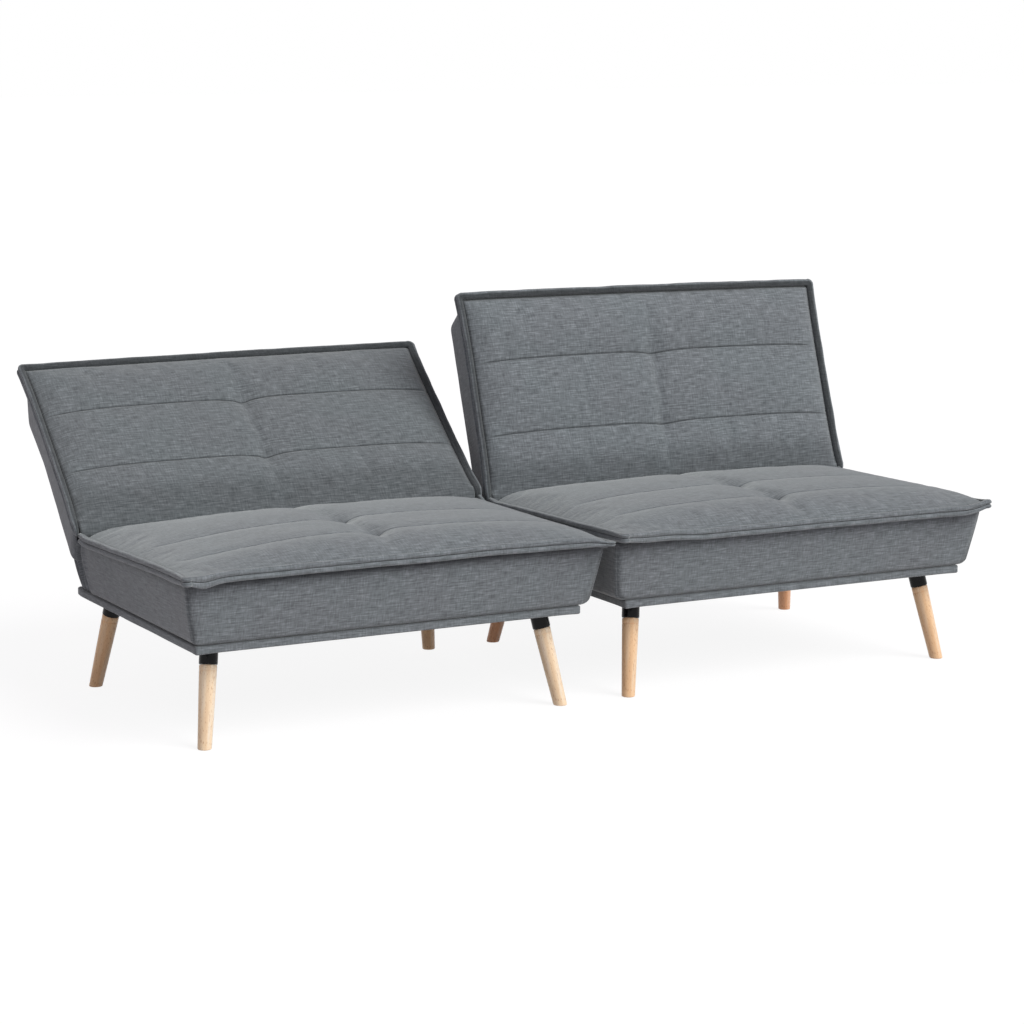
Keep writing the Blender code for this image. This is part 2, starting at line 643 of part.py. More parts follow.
def back_bracket_outline():
    """Back plate about the pivot: an arm up the back board's edge, and a sector with one tooth a notch."""
    pitch = (FLAT_ANGLE - UPRIGHT_ANGLE) / NOTCH_STEPS
    low = BACK_BOARD_FRONT
    high = low + BACK_ARM_WIDTH
    left_meets = 180 - math.degrees(math.asin(math.sqrt(SECTOR_ROOT ** 2 - low ** 2) / SECTOR_ROOT))
    right_meets = math.degrees(math.acos(high / SECTOR_ROOT))
    end = SECTOR_START + pitch * SECTOR_TEETH
    points = [(high, BACK_ARM_LENGTH), (low, BACK_ARM_LENGTH)]
    points += arc((0.0, 0.0), SECTOR_ROOT, left_meets, SECTOR_START - pitch, 7)
    for tooth in range(SECTOR_TEETH):
        start = SECTOR_START + pitch * tooth
        points += [polar(SECTOR_ROOT, start), polar(SECTOR_CREST, start + TOOTH_RISE * pitch)]
    points += arc((0.0, 0.0), SECTOR_ROOT, end, 360 + right_meets, 6)
    return points


def pawl_outline():
    """Pawl about its own stud: its tip stands just clear of the sector's tooth crests."""
    reach = SECTOR_CREST + PAWL_CLEARANCE
    tip = polar(reach, PAWL_TIP_ANGLE, (-PAWL_PIVOT[0], -PAWL_PIVOT[1]))
    boss = arc((0.0, 0.0), PAWL_BOSS_RADIUS, 170, 370, 6)
    return [tip, (tip[0] + PAWL_TIP_BACK[0], tip[1] + PAWL_TIP_BACK[1]), *boss, PAWL_SHOULDER]


def add_hinges(prefix, base, pivot, finishes):
    """Seat plate with the pawl's stud, back plate and pawl at each side, and the rod that they turn on."""
    bore = ROD_RADIUS + GAP
    stud_length = PLATE_GAP + PLATE_THICKNESS - GAP
    axis = (0.0, PIVOT_Y, PIVOT_Z)
    for side, name in ((-1, "left"), (1, "right")):
        bm = plate(side, SEAT_PLATE, seat_bracket_outline(), [((0.0, 0.0), bore)],
                   (PAWL_PIVOT, PAWL_STUD_RADIUS, stud_length))
        piece(f"{prefix}_seat_bracket_{name}", bm, finishes["steel"], base, axis)
        bm = plate(side, BACK_PLATE, back_bracket_outline(), [((0.0, 0.0), bore)])
        piece(f"{prefix}_back_bracket_{name}", bm, finishes["steel"], pivot)
        bm = plate(side, BACK_PLATE, pawl_outline(), [((0.0, 0.0), PAWL_STUD_RADIUS + GAP)])
        pawl_place = (0.0, PIVOT_Y + PAWL_PIVOT[0], PIVOT_Z + PAWL_PIVOT[1])
        piece(f"{prefix}_pawl_{name}", bm, finishes["steel"], base, pawl_place)
    piece(f"{prefix}_pivot_rod", pivot_rod(), finishes["steel"], base, axis)


def pivot_rod():
    """Rod that runs through all the hinge plates, with a head outside each seat plate."""
    shoulder = SEAT_PLATE[1] + GAP
    end = shoulder + ROD_HEAD_HEIGHT
    profile = ((-end, ROD_HEAD_RADIUS), (-shoulder, ROD_HEAD_RADIUS), (-shoulder, ROD_RADIUS),
               (shoulder, ROD_RADIUS), (shoulder, ROD_HEAD_RADIUS), (end, ROD_HEAD_RADIUS))
    last = 360 - 360 / ROD_SIDES
    rings = [arc((0.0, 0.0), radius, 0, last, ROD_SIDES - 1) for x, radius in profile]
    return loft([[(x, y, z) for y, z in ring] for (x, radius), ring in zip(profile, rings)])


def add_hinge_skirt(prefix, recline, parent, finishes):
    """Loose fabric between the base board, the seat box's rear wall and the back's lower edge."""
    def under_back(depth):
        return (PIVOT_Y + depth * math.cos(recline) - GAP * math.sin(recline),
                PIVOT_Z - depth * math.sin(recline) - GAP * math.cos(recline))

    front = BOX_REAR + GAP
    bottom = BOARD_TOP + GAP
    rear_bottom = (BOARD_REAR - SKIRT_BOARD_INSET, bottom)
    rear_top = under_back(SKIRT_BACK_REACH)
    bulge = ((rear_bottom[0] + rear_top[0]) / 2 + SKIRT_BULGE, (rear_bottom[1] + rear_top[1]) / 2)
    board_half = BOARD_HALF_WIDTH - SKIRT_BOARD_INSET
    outline = (
        (board_half, (front, bottom)),
        (board_half, rear_bottom),
        (SKIRT_HALF_WIDTH, bulge),
        (SKIRT_HALF_WIDTH, rear_top),
        (SKIRT_HALF_WIDTH, under_back(KNUCKLE_RADIUS)),
        (SKIRT_HALF_WIDTH, (front, RIM - SKIRT_TOP_DROP)),
    )
    bm = loft([[(side * half, y, z) for half, (y, z) in outline] for side in (-1, 1)])
    piece(f"{prefix}_hinge_skirt", bm, finishes["fabric"], parent)


def add_module(prefix, root, finishes):
    side = -1 if prefix == "left" else 1
    base = empty(f"{prefix}_module", root, (side * MODULE_PITCH / 2, 0.0, 0.0))
    notch = (FLAT_ANGLE - UPRIGHT_ANGLE) / NOTCH_STEPS
    recline = math.radians(UPRIGHT_ANGLE + notch * REST_NOTCH[prefix])
    pivot = empty(f"{prefix}_back_pivot", base, (0.0, PIVOT_Y, PIVOT_Z))
    pivot.rotation_euler.x = -recline
    for end, depth_name in ((-1, "front"), (1, "rear")):
        for across, side_name in ((-1, "left"), (1, "right")):
            add_leg(prefix, f"{depth_name}_{side_name}", across, end, base, finishes)
    add_base_board(prefix, base, finishes)
    add_seat_cover(prefix, base, finishes)
    add_seat_frame(prefix, base, finishes)
    add_seat_pad(prefix, base, finishes)
    add_seat_welt(prefix, base, finishes)
    add_hinges(prefix, base, pivot, finishes)
    add_hinge_skirt(prefix, recline, base, finishes)
    add_back_board(prefix, pivot, finishes)
    add_back_pad(prefix, pivot, finishes)
    add_back_welt(prefix, pivot, finishes)
    add_back_cover(prefix, pivot, finishes)


def centre_front_to_rear(root):
    """Moves the sofa so that the middle of its depth, as it rests, is at y = 0."""
    bpy.context.view_layer.update()
    depths = [(made.matrix_world @ vert.co).y for made in bpy.data.objects if made.type == "MESH"
              for vert in made.data.vertices]
    root.location.y = -(min(depths) + max(depths)) / 2
    bpy.context.view_layer.update()


def main():
    clear_scene()
    finishes = {
        "fabric": material("linen_weave", (0.165, 0.185, 0.200), 0.9),
        "wood": material("beech", (0.560, 0.350, 0.170), 0.5),
        "black_metal": material("black_enamelled_steel", (0.012, 0.012, 0.014), 0.25, 0.6),
        "timber": material("sawn_pine", (0.520, 0.390, 0.230), 0.8),
        "steel": material("zinc_plated_steel", (0.560, 0.560, 0.570), 0.35, 1.0),
        "spring_steel": material("spring_steel", (0.180, 0.180, 0.190), 0.4, 1.0),
    }
    root = empty("sofa")
    for prefix in ("left", "right"):
        add_module(prefix, root, finishes)
    centre_front_to_rear(root)


main()
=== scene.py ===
"""Split sofa bed: two armless modules in blue-grey linen weave on splayed beech legs with black ferrules.

Metres, +Z up, the front faces -Y. A back's own axes start at its pivot: x across, y to its rear and z up
along the back.
"""
import json
import math

import bmesh
import bpy
import numpy as np
from mathutils import Matrix, Vector, noise


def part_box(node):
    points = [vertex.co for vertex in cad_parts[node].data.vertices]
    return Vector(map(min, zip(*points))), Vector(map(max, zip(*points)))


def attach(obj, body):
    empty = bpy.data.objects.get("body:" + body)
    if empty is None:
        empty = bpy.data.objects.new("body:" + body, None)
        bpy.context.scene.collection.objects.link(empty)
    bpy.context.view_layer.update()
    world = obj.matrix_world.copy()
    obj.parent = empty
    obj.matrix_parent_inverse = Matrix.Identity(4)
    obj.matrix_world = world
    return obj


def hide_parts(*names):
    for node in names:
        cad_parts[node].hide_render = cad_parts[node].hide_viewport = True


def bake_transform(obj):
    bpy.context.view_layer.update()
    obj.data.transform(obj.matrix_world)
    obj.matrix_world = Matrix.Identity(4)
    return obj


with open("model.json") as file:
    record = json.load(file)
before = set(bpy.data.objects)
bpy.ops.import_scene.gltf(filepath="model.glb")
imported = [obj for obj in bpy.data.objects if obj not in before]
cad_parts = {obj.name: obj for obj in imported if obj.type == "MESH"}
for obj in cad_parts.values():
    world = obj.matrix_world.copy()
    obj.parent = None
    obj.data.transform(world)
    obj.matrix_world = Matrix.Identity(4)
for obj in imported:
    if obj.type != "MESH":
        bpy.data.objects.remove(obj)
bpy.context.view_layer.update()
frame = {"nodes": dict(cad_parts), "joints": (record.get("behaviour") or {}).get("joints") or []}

# Camera, fitted to the photograph
CAMERA_PLACE = (-2.8275, -5.3535, 1.3578)
CAMERA_YAW = 27.99
CAMERA_PITCH = 9.69
FOCAL_LENGTH = 103.04
SENSOR_WIDTH = 36.0

# Cloth
WEAVE = "weave"
CLOTH_STEP = 0.0064
SEAM_OFFSETS = (-0.0052, -0.0022, 0.0, 0.0022, 0.0052)
SEAM_WIDTH = 0.0015
SEAM_DEPTH = 0.0016
SEAM_SHADE = "crease"
CASE_WALL = 0.004
RIM_WIDTH = 0.0042
EDGE_FAN = [math.tan(math.radians(angle)) for angle in (15, 30, 45)]
# How far round each tuft the cloth is held down, and how near a seam it is sewn
TUFT_RADIUS = 0.010
SEWN_WITHIN = 0.001
CLOTH_FRAMES = 20

# Seat cushion
SEAT_CORNER_OUT = 0.0235
SEAT_SIDE_DRAW_IN = 0.0115
SEAT_REAR_DRAW_IN = 0.005
SEAT_CROWN = 0.0322
# How the crown falls to the side edges: the larger the first number, the later it starts, and the larger
# the second, the flatter it ends
SEAT_LEFT_FALL = {"left": (2.6, 1.35), "right": (3.4, 0.9)}
SEAT_RIGHT_FALL = (3.5, 0.75)
# It rises from the front edge over this share of the depth, this steeply
SEAT_FRONT_RISE = (0.22, 2.4)
# It falls towards the rear from this share of the depth, by this share of its height, this steeply
SEAT_REAR_FALL = (0.6, 0.58, 2.2)
# The fold down the middle: its depth, its width between the tufts, and how much wider it is beyond them
SEAT_FOLD = (0.0046, 0.018, 0.006)
# Hollows round each tuft: depth and width of the wide one and of the narrow one
SEAT_HOLLOWS = ((0.0085, 0.033), (0.006, 0.012))
# Slack in the cloth: height and length of its waves
SEAT_SLACK = (0.0012, 0.11)
SEAT_PUFF = 0.0014
SEAT_EDGE_BELOW_WELT = 0.0078
SEAT_SEAMS = (0.1295, 0.2865)
# How far the cushion's left and right edges hang down, each at its front and rear end
SEAT_HANG = {"left": ((-0.002, 0.016), (0.005, 0.006)), "right": ((-0.004, 0.015), (-0.011, 0.011))}
# How much the piping thins at its left and right front corner
SEAT_TIP_THIN = {"left": (0.16, 0.55), "right": (0.10, 0.15)}
# A droop in the front edge near its left corner: how deep, how far from the corner, how wide
SEAT_DROOP = {"left": (0.0050, 0.032, 0.024), "right": (0.0010, 0.085, 0.050)}
# How much lower the cushion's front edge lies from its left quarter to its middle, and near its right end
SEAT_FRONT_DROP = {"left": (0.0, 0.0), "right": (0.0082, 0.0092)}
# The right side's piping hangs below the cushion's edge, which swells over it
SEAT_RIGHT_SWELL = (0.006, 0.008)
# How far each module's right front corner is drawn in towards the middle
SEAT_TIP_DRAW_IN = {"left": 0.009, "right": 0.015}

# Back cushion, heights above the pivot
BACK_HEIGHT = 0.4147
BACK_HALF_WIDTH = 0.4313
BACK_SIDE_DRAW_IN = 0.004
BACK_FACE = -0.038
BACK_PAD_REAR = -0.0165
BACK_CROWN = 0.0135
BACK_PUFF = 0.0036
BACK_SEAMS = (0.1226, 0.279)
# The top edge bows up, by this much at its left and right end
BACK_TOP_LIFT = {"left": (0.006, 0.009), "right": (0.009, 0.001)}
# Loose sides: how far the left and right edges reach beyond the frame, each at its bottom and top
BACK_REACH = {"left": ((0.0165, 0.0065), (0.0065, 0.0145)), "right": ((0.0105, 0.0090), (0.0110, 0.0110))}
# The face dips at its edges: how deep, and how far in
BACK_EDGE_DIP = (0.006, 0.009)
BACK_FOLD = (0.0025, 0.014)
BACK_HOLLOWS = ((0.0055, 0.036), (0.003, 0.012))
BACK_SLACK = (0.0010, 0.12)
# How far a cross seam dips at its tuft, over what width, and how far it droops at the sides
BACK_SEAM_SAG = (0.005, 0.05, 0.007)
KNUCKLE_RADIUS = 0.038
KNUCKLE_WALL = 0.008
KNUCKLE_WRAP = math.radians(72.0)

# Back case
BACK_CASE_FRONT = -0.0162
BACK_CASE_REAR = 0.112
BACK_CASE_HINGE_ROOM = 0.033
BACK_CASE_INSET = 0.0013
BACK_REAR_SIDE_DRAW_IN = 0.0213
# Share of that draw-in left at the bottom, where the reclined back's cloth is slack
BACK_LOW_DRAW_IN = {"left": 0.15, "right": 1.0}
BACK_REAR_DROP = 0.020
BACK_CASE_ROUND = 0.024
# The slack panel behind: how far it bellies out, and the height and length of its waves
BACK_CASE_BELLY = (0.004, 0.0016, 0.13)
BACK_CASE_SLACK = (0.0010, 0.08)

# Seat case and base board
CASE_BOTTOM = 0.2050
CASE_FLARE_FRONT = math.tan(math.radians(12.8))
# How far the case stands out beyond its frame at its left and right, each at the bottom and the top
CASE_REACH = {"left": ((-0.001, 0.000), (0.011, 0.010)), "right": ((0.013, 0.007), (0.012, 0.006))}
CASE_FLARE_SIDE = math.tan(math.radians(10.3))
CASE_ROUND = (0.018, 0.0055, 0.013)
CASE_REAR_DROP = 0.031
# The sides belly out: by this much, with waves of this height and length
CASE_BELLY = (0.0015, 0.0014, 0.09)
# The upright seams at the front corners: their width and depth of shade
CASE_SEAM = (0.0016, 0.7)
BOARD_ROUND = (0.006, 0.006, 0.003)
BOARD_REACH = 0.0060
BOARD_FRONT_REACH = 0.0035
# The wrap sags under the board's edges, this far in from them, and is pinched narrow at its rear end
BOARD_SAG = (0.002, 0.018)
BOARD_PINCH = (0.0055, 0.03)
BOARD_SLACK = (0.0009, 0.07)

# Hinge gusset
GUSSET_HALF_WIDTH = 0.402
GUSSET_FRONT_INSIDE_BOX = 0.012
GUSSET_REAR_INSIDE_BOARD = 0.032
GUSSET_BACK_DEPTH = 0.099
GUSSET_INTO_CASE = 0.018
GUSSET_FOLD = (0.0026, 0.0042)
GUSSET_FOLD_LENGTH = 0.015
GUSSET_HEIGHT = 0.104
GUSSET_BELLY = 0.014
GUSSET_FULLNESS = 1.25
GUSSET_STEPS = (420, 14)
GUSSET_THICKNESS = 0.0009
# Its top runs inside the back's case by this much on each side
GUSSET_CLEAR_OF_CASE = 0.006
# It rounds its two corners over this length, and bellies out only this far from them
GUSSET_CORNER = 0.01
GUSSET_BELLY_RAMP = 0.05

# Piping: two rolls side by side
WELT_HEIGHT = 0.0215
SEAT_WELT_WIDTH = 0.0119
BACK_WELT_WIDTH = 0.0150
WELT_STEP = 0.007
WELT_WRAP = 0.038
ROLL_STEPS = 8
CORNER_STEPS = 7
CORNER_WIDTH = 0.033
# The rolls wander: share of their width, and the length of the waves
SEAT_WELT_WANDER = (0.10, 0.035)
BACK_WELT_WANDER = (0.09, 0.045)
# How much narrower they are down the back's left side, under the cushion's edge, and wider down its right one
BACK_WELT_LIE = (0.27, 0.15)

# Legs and ferrules
LEG_SLOPE = (math.tan(math.radians(8.92)), math.tan(math.radians(12.63)))
LEG_FOOT_RADIUS = 0.0135
LEG_TOP_RADIUS = 0.017
LEG_HEIGHT = 0.1516
# A turned groove near the leg's top: how deep, how far below the top, half its width
LEG_GROOVE = (0.0007, 0.0116, 0.0006)
# The taper is a little full halfway down
LEG_SWELL = 0.0002
TENON_RADIUS = 0.010
TENON_LENGTH = 0.018
FERRULE_RADIUS = 0.018
FERRULE_LIP = 0.0012
FOOT_EDGE = 0.0016
ROUND_STEPS = 56

# Light: a broad soft lamp from the front right and a dim sky
LAMP_POWER = 2.36
LAMP_SPREAD = 40
LAMP_COLOUR = (0.97, 1.0, 0.99)
LAMP_SIDE = (0.41, -0.66, 0.63)
SKY_POWER = 0.32
SKY_COLOUR = (0.96, 0.92, 1.0, 1.0)
# The floor's own glow, and how much of it shows in place of its lit paper
FLOOR_GLOW = 1.24
FLOOR_GLOW_SHARE = 0.72
FLOOR_SIZE = 40.0


# Materials

def colour(code):
    """Linear colour of an sRGB hex code."""
    values = [int(code[k:k + 2], 16) / 255 for k in (1, 3, 5)]
    return (*[v / 12.92 if v <= 0.04045 else ((v + 0.055) / 1.055) ** 2.4 for v in values], 1.0)


def add(tree, kind, inputs=None, **settings):
    """Adds a node. inputs maps the names of its inputs to values or to the sockets that feed them."""
    made = tree.nodes.new(kind)
    for name, value in settings.items():
        setattr(made, name, value)
    for name, value in (inputs or {}).items():
        if isinstance(value, bpy.types.NodeSocket):
            tree.links.new(value, made.inputs[name])
        else:
            made.inputs[name].default_value = value
    return made


def new_material(name):
    """An empty material with its tree, shader and output joined."""
    made = bpy.data.materials.new(name)
    made.use_nodes = True
    tree = made.node_tree
    return made, tree, tree.nodes["Principled BSDF"]


def ramp(tree, factor, stops):
    """Colour ramp over (place, hex code) stops."""
    made = add(tree, "ShaderNodeValToRGB", {"Fac": factor})
    elements = made.color_ramp.elements
    elements[0].position, elements[0].color = stops[0][0], colour(stops[0][1])
    elements[1].position, elements[1].color = stops[-1][0], colour(stops[-1][1])
    for place, code in stops[1:-1]:
        elements.new(place).color = colour(code)
    return made.outputs["Color"]


def linen_weave(name, painted_shade_tint):
    """Polyester linen-look upholstery: mottled blue-grey yarns with slubs, matt, a faint fuzz at the rim."""
    made, tree, shader = new_material(name)
    cloth = add(tree, "ShaderNodeUVMap", uv_map=WEAVE).outputs["UV"]
    # Slubs run with the weft, about 30 mm long and 3 mm high, twice as coarse as the real ones so that
    # they show; shorter ones, 20 mm long, run with the warp
    slubs = []
    for scale in ((33.0, 330.0, 1.0), (330.0, 50.0, 1.0)):
        run = add(tree, "ShaderNodeMapping", {"Vector": cloth, "Scale": scale}).outputs["Vector"]
        slub = add(tree, "ShaderNodeTexNoise",
                   {"Vector": run, "Scale": 1.0, "Detail": 2.0, "Roughness": 0.6}, noise_dimensions="2D")
        slubs.append(slub.outputs["Fac"])
    slubs = add(tree, "ShaderNodeMix", {"Factor": 0.38, "A": slubs[0], "B": slubs[1]}).outputs["Result"]
    yarns = ramp(tree, slubs, ((0.33, "#585c60"), (0.46, "#72777a"), (0.55, "#7c8185"), (0.68, "#969b9f")))
    # Dye lots and handling tint it over tens of centimetres
    patches = add(tree, "ShaderNodeTexNoise", {"Vector": cloth, "Scale": 7.0, "Detail": 2.0},
                  noise_dimensions="2D").outputs["Fac"]
    tint = ramp(tree, patches, ((0.35, "#747477"), (0.65, "#757b7d")))
    blended = add(tree, "ShaderNodeMix", {"Factor": 0.22, "A": yarns, "B": tint}, data_type="RGBA")
    # Painted shade in the seams and the piping's grooves, then a tint that paints a copy of the cloth darker
    # as shade
    crease = add(tree, "ShaderNodeAttribute", attribute_name=SEAM_SHADE).outputs["Fac"]
    shaded = add(tree, "ShaderNodeMapRange", {"Value": crease, "To Min": 1.0, "To Max": 0.33})
    cloth_colour = blended
    for factor in (shaded.outputs["Result"], colour(painted_shade_tint)):
        cloth_colour = add(tree, "ShaderNodeMix",
                           {"Factor": 1.0, "A": cloth_colour.outputs["Result"], "B": factor},
                           data_type="RGBA", blend_type="MULTIPLY")
    tree.links.new(cloth_colour.outputs["Result"], shader.inputs["Base Color"])
    # Plain weave with a thread every 3.2 mm, about twice as coarse as the real one so that it shows; the
    # bands repeat every 0.314 of their scaled units
    threads = []
    for direction in ("X", "Y"):
        wave = add(tree, "ShaderNodeTexWave",
                   {"Vector": cloth, "Scale": 98.0, "Distortion": 1.2, "Detail": 1.0, "Detail Scale": 2.0},
                   wave_type="BANDS", bands_direction=direction)
        threads.append(wave.outputs["Fac"])
    crossing = add(tree, "ShaderNodeMath", {0: threads[0], 1: threads[1]}, operation="MULTIPLY")
    relief = add(tree, "ShaderNodeMath", {0: crossing.outputs["Value"], 1: slubs}, operation="ADD")
    bump = add(tree, "ShaderNodeBump",
               {"Height": relief.outputs["Value"], "Strength": 0.35, "Distance": 0.0006})
    tree.links.new(bump.outputs["Normal"], shader.inputs["Normal"])
    shader.inputs["Roughness"].default_value = 0.92
    shader.inputs["Specular IOR Level"].default_value = 0.10
    shader.inputs["Sheen Weight"].default_value = 0.62
    shader.inputs["Sheen Roughness"].default_value = 0.5
    shader.inputs["Sheen Tint"].default_value = colour("#eef0ee")
    return made


def beech(name, wood_tint_and_shade):
    """Lacquered beech: pale pinkish tan, fine straight grain with short dark flecks, satin."""
    made, tree, shader = new_material(name)
    place = add(tree, "ShaderNodeAttribute", attribute_name="grain").outputs["Vector"]
    # Fibres 8 mm wide and 110 mm long, growth rings twice to three times that, flecks 1.1 mm by 8 mm
    marks = []
    for scale, detail, roughness in (((120.0, 120.0, 9.0), 4.0, 0.6), ((38.0, 70.0, 3.0), 2.0, 0.5),
                                     ((900.0, 900.0, 130.0), 1.0, 0.5)):
        along = add(tree, "ShaderNodeMapping", {"Vector": place, "Scale": scale}).outputs["Vector"]
        mark = add(tree, "ShaderNodeTexNoise",
                   {"Vector": along, "Scale": 1.0, "Detail": detail, "Roughness": roughness})
        marks.append(mark.outputs["Fac"])
    grain, growth, flecks = marks
    both = add(tree, "ShaderNodeMix", {"Factor": 0.5, "A": grain, "B": growth}).outputs["Result"]
    wood = ramp(tree, both, ((0.30, "#f0c89f"), (0.48, "#ffe0ba"), (0.60, "#ffead0"), (0.75, "#fff3e2")))
    dark = ramp(tree, flecks, ((0.62, "#ffffff"), (0.74, "#c9a987")))
    # The last factor tints copies of the wood, as painted shade on the rear legs
    for factor in (dark, colour(wood_tint_and_shade)):
        mixed = add(tree, "ShaderNodeMix", {"Factor": 1.0, "A": wood, "B": factor},
                    data_type="RGBA", blend_type="MULTIPLY")
        wood = mixed.outputs["Result"]
    tree.links.new(wood, shader.inputs["Base Color"])
    bump = add(tree, "ShaderNodeBump", {"Height": grain, "Strength": 0.12, "Distance": 0.0003})
    tree.links.new(bump.outputs["Normal"], shader.inputs["Normal"])
    shader.inputs["Roughness"].default_value = 0.42
    shader.inputs["Coat Weight"].default_value = 0.25
    shader.inputs["Coat Roughness"].default_value = 0.3
    return made


def black_enamel():
    """Stoved black enamel on steel: deep gloss with the faint orange peel of a sprayed coat."""
    made, tree, shader = new_material("stoved_black_enamel")
    place = add(tree, "ShaderNodeTexCoord").outputs["Object"]
    peel = add(tree, "ShaderNodeTexNoise", {"Vector": place, "Scale": 700.0, "Detail": 1.0}).outputs["Fac"]
    dust = add(tree, "ShaderNodeTexNoise", {"Vector": place, "Scale": 90.0, "Detail": 3.0}).outputs["Fac"]
    tree.links.new(ramp(tree, dust, ((0.4, "#0d0d0f"), (0.75, "#17171a"))), shader.inputs["Base Color"])
    bump = add(tree, "ShaderNodeBump", {"Height": peel, "Strength": 0.08, "Distance": 0.0002})
    tree.links.new(bump.outputs["Normal"], shader.inputs["Normal"])
    shader.inputs["Roughness"].default_value = 0.14
    shader.inputs["Specular IOR Level"].default_value = 0.16
    return made


def sawn_pine():
    """Rough-sawn pine of the hidden frame: yellow with darker grain and saw marks across it."""
    made, tree, shader = new_material("sawn_pine")
    place = add(tree, "ShaderNodeTexCoord").outputs["Object"]
    along = add(tree, "ShaderNodeMapping", {"Vector": place, "Scale": (6.0, 60.0, 60.0)}).outputs["Vector"]
    grain = add(tree, "ShaderNodeTexNoise", {"Vector": along, "Scale": 1.0, "Detail": 4.0}).outputs["Fac"]
    saw = add(tree, "ShaderNodeTexWave", {"Vector": place, "Scale": 40.0, "Distortion": 2.0}).outputs["Fac"]
    wood = ramp(tree, grain, ((0.35, "#a98150"), (0.5, "#cfa873"), (0.7, "#e0c08e")))
    tree.links.new(wood, shader.inputs["Base Color"])
    bump = add(tree, "ShaderNodeBump", {"Height": saw, "Strength": 0.2, "Distance": 0.0004})
    tree.links.new(bump.outputs["Normal"], shader.inputs["Normal"])
    shader.inputs["Roughness"].default_value = 0.8
    return made


def plated_steel(name, dark, pale, roughness):
    """Steel with a thin metal coat or oil: cloudy grey, the roughness uneven."""
    made, tree, shader = new_material(name)
    place = add(tree, "ShaderNodeTexCoord").outputs["Object"]
    clouds = add(tree, "ShaderNodeTexNoise", {"Vector": place, "Scale": 120.0, "Detail": 4.0}).outputs["Fac"]
    tree.links.new(ramp(tree, clouds, ((0.35, dark), (0.65, pale))), shader.inputs["Base Color"])
    rough = add(tree, "ShaderNodeMapRange",
                {"Value": clouds, "To Min": roughness - 0.08, "To Max": roughness + 0.1})
    tree.links.new(rough.outputs["Result"], shader.inputs["Roughness"])
    shader.inputs["Metallic"].default_value = 1.0
    return made


# Shapes

def marks_between(low, high, step, seams=()):
    """Places from low to high about a step apart, closer together beside each seam."""
    count = max(1, round((high - low) / step))
    places = [low + (high - low) * k / count for k in range(count + 1)]
    clear = SEAM_OFFSETS[-1] + 0.3 * step
    for seam in seams:
        places = [place for place in places if abs(place - seam) > clear or place in (low, high)]
        places += [seam + offset for offset in SEAM_OFFSETS]
    return sorted(places)


def edge_marks(low, high, radius, step, first=True, last=True):
    """Places from low to high with a closer fan over each rounded edge."""
    begin = [low + radius * (1 - turn) for turn in EDGE_FAN[::-1]] if first else []
    finish = [high - radius * (1 - turn) for turn in EDGE_FAN] if last else []
    flat = (low + (radius if first else 0.0), high - (radius if last else 0.0))
    return begin + marks_between(*flat, step) + finish


def round_off(point, limits, radii):
    """Moves a point on a box's surface onto the same box with rounded edges."""
    inner = [min(max(value, low + size), high - size)
             for value, (low, high), size in zip(point, limits, radii)]
    away = [(value - middle) / size for value, middle, size in zip(point, inner, radii)]
    length = math.sqrt(sum(part * part for part in away))
    if not length:
        return point
    reach = max(abs(part) for part in away) / length
    return [middle + size * part * reach for middle, part, size in zip(inner, away, radii)]


def ripple(point, length, seed):
    """Smooth noise from -1 to 1 with the given wavelength."""
    return noise.noise(Vector(point) / length + Vector((seed * 17.3, seed * 7.1, seed * 3.7)))


def bell(distance, width):
    return math.exp(-((distance / width) ** 2))


def soft_box(name, marks, place, open_face=None):
    """A box of cloth cut at the marks along each axis, whose points go where place puts them.

    The weave map lies flat on each of its sides, in metres. open_face says which faces are left out.
    """
    bm = bmesh.new()
    bmesh.ops.create_cube(bm, size=2.0)
    for axis, places in enumerate(marks):
        whole = [edge for edge in bm.edges if abs(edge.verts[0].co[axis] - edge.verts[1].co[axis]) > 1.9]
        if len(places) > 2:
            bmesh.ops.subdivide_edges(bm, edges=whole, cuts=len(places) - 2, use_grid_fill=True)
    facing = {}
    for face in bm.faces:
        centre = face.calc_center_median()
        axis = max(range(3), key=lambda k: abs(centre[k]))
        facing[face] = (axis, 1 if centre[axis] > 0 else -1)
    for vert in bm.verts:
        spot = [places[round((vert.co[k] + 1) / 2 * (len(places) - 1))] for k, places in enumerate(marks)]
        vert.co = place(*spot)
    layer = bm.loops.layers.uv.new(WEAVE)
    for face in bm.faces:
        across, up = ((1, 2), (0, 2), (0, 1))[facing[face][0]]
        for loop in face.loops:
            loop[layer].uv = (loop.vert.co[across], loop.vert.co[up])
    if open_face:
        gone = [face for face in bm.faces if open_face(face, *facing[face])]
        bmesh.ops.delete(bm, geom=gone, context="FACES")
        bmesh.ops.recalc_face_normals(bm, faces=bm.faces)
        bmesh.ops.solidify(bm, geom=bm.faces[:], thickness=CASE_WALL)
    return finish_piece(name, bm)


def finish_piece(name, bm, smooth_angle=None):
    """Makes the mesh an object at the origin, smooth shaded."""
    bmesh.ops.recalc_face_normals(bm, faces=bm.faces)
    mesh = bpy.data.meshes.new(name)
    bm.to_mesh(mesh)
    bm.free()
    mesh.shade_smooth()
    if smooth_angle:
        mesh.set_sharp_from_angle(angle=math.radians(smooth_angle))
    made = bpy.data.objects.new(name, mesh)
    bpy.context.scene.collection.objects.link(made)
    return made


def points_of(piece):
    """The piece's vertices as an array."""
    values = np.zeros(len(piece.data.vertices) * 3, np.float32)
    piece.data.vertices.foreach_get("co", values)
    return values.reshape(-1, 3).astype(float)


def set_points(piece, points):
    piece.data.vertices.foreach_set("co", points.astype(np.float32).ravel())
    piece.data.update()


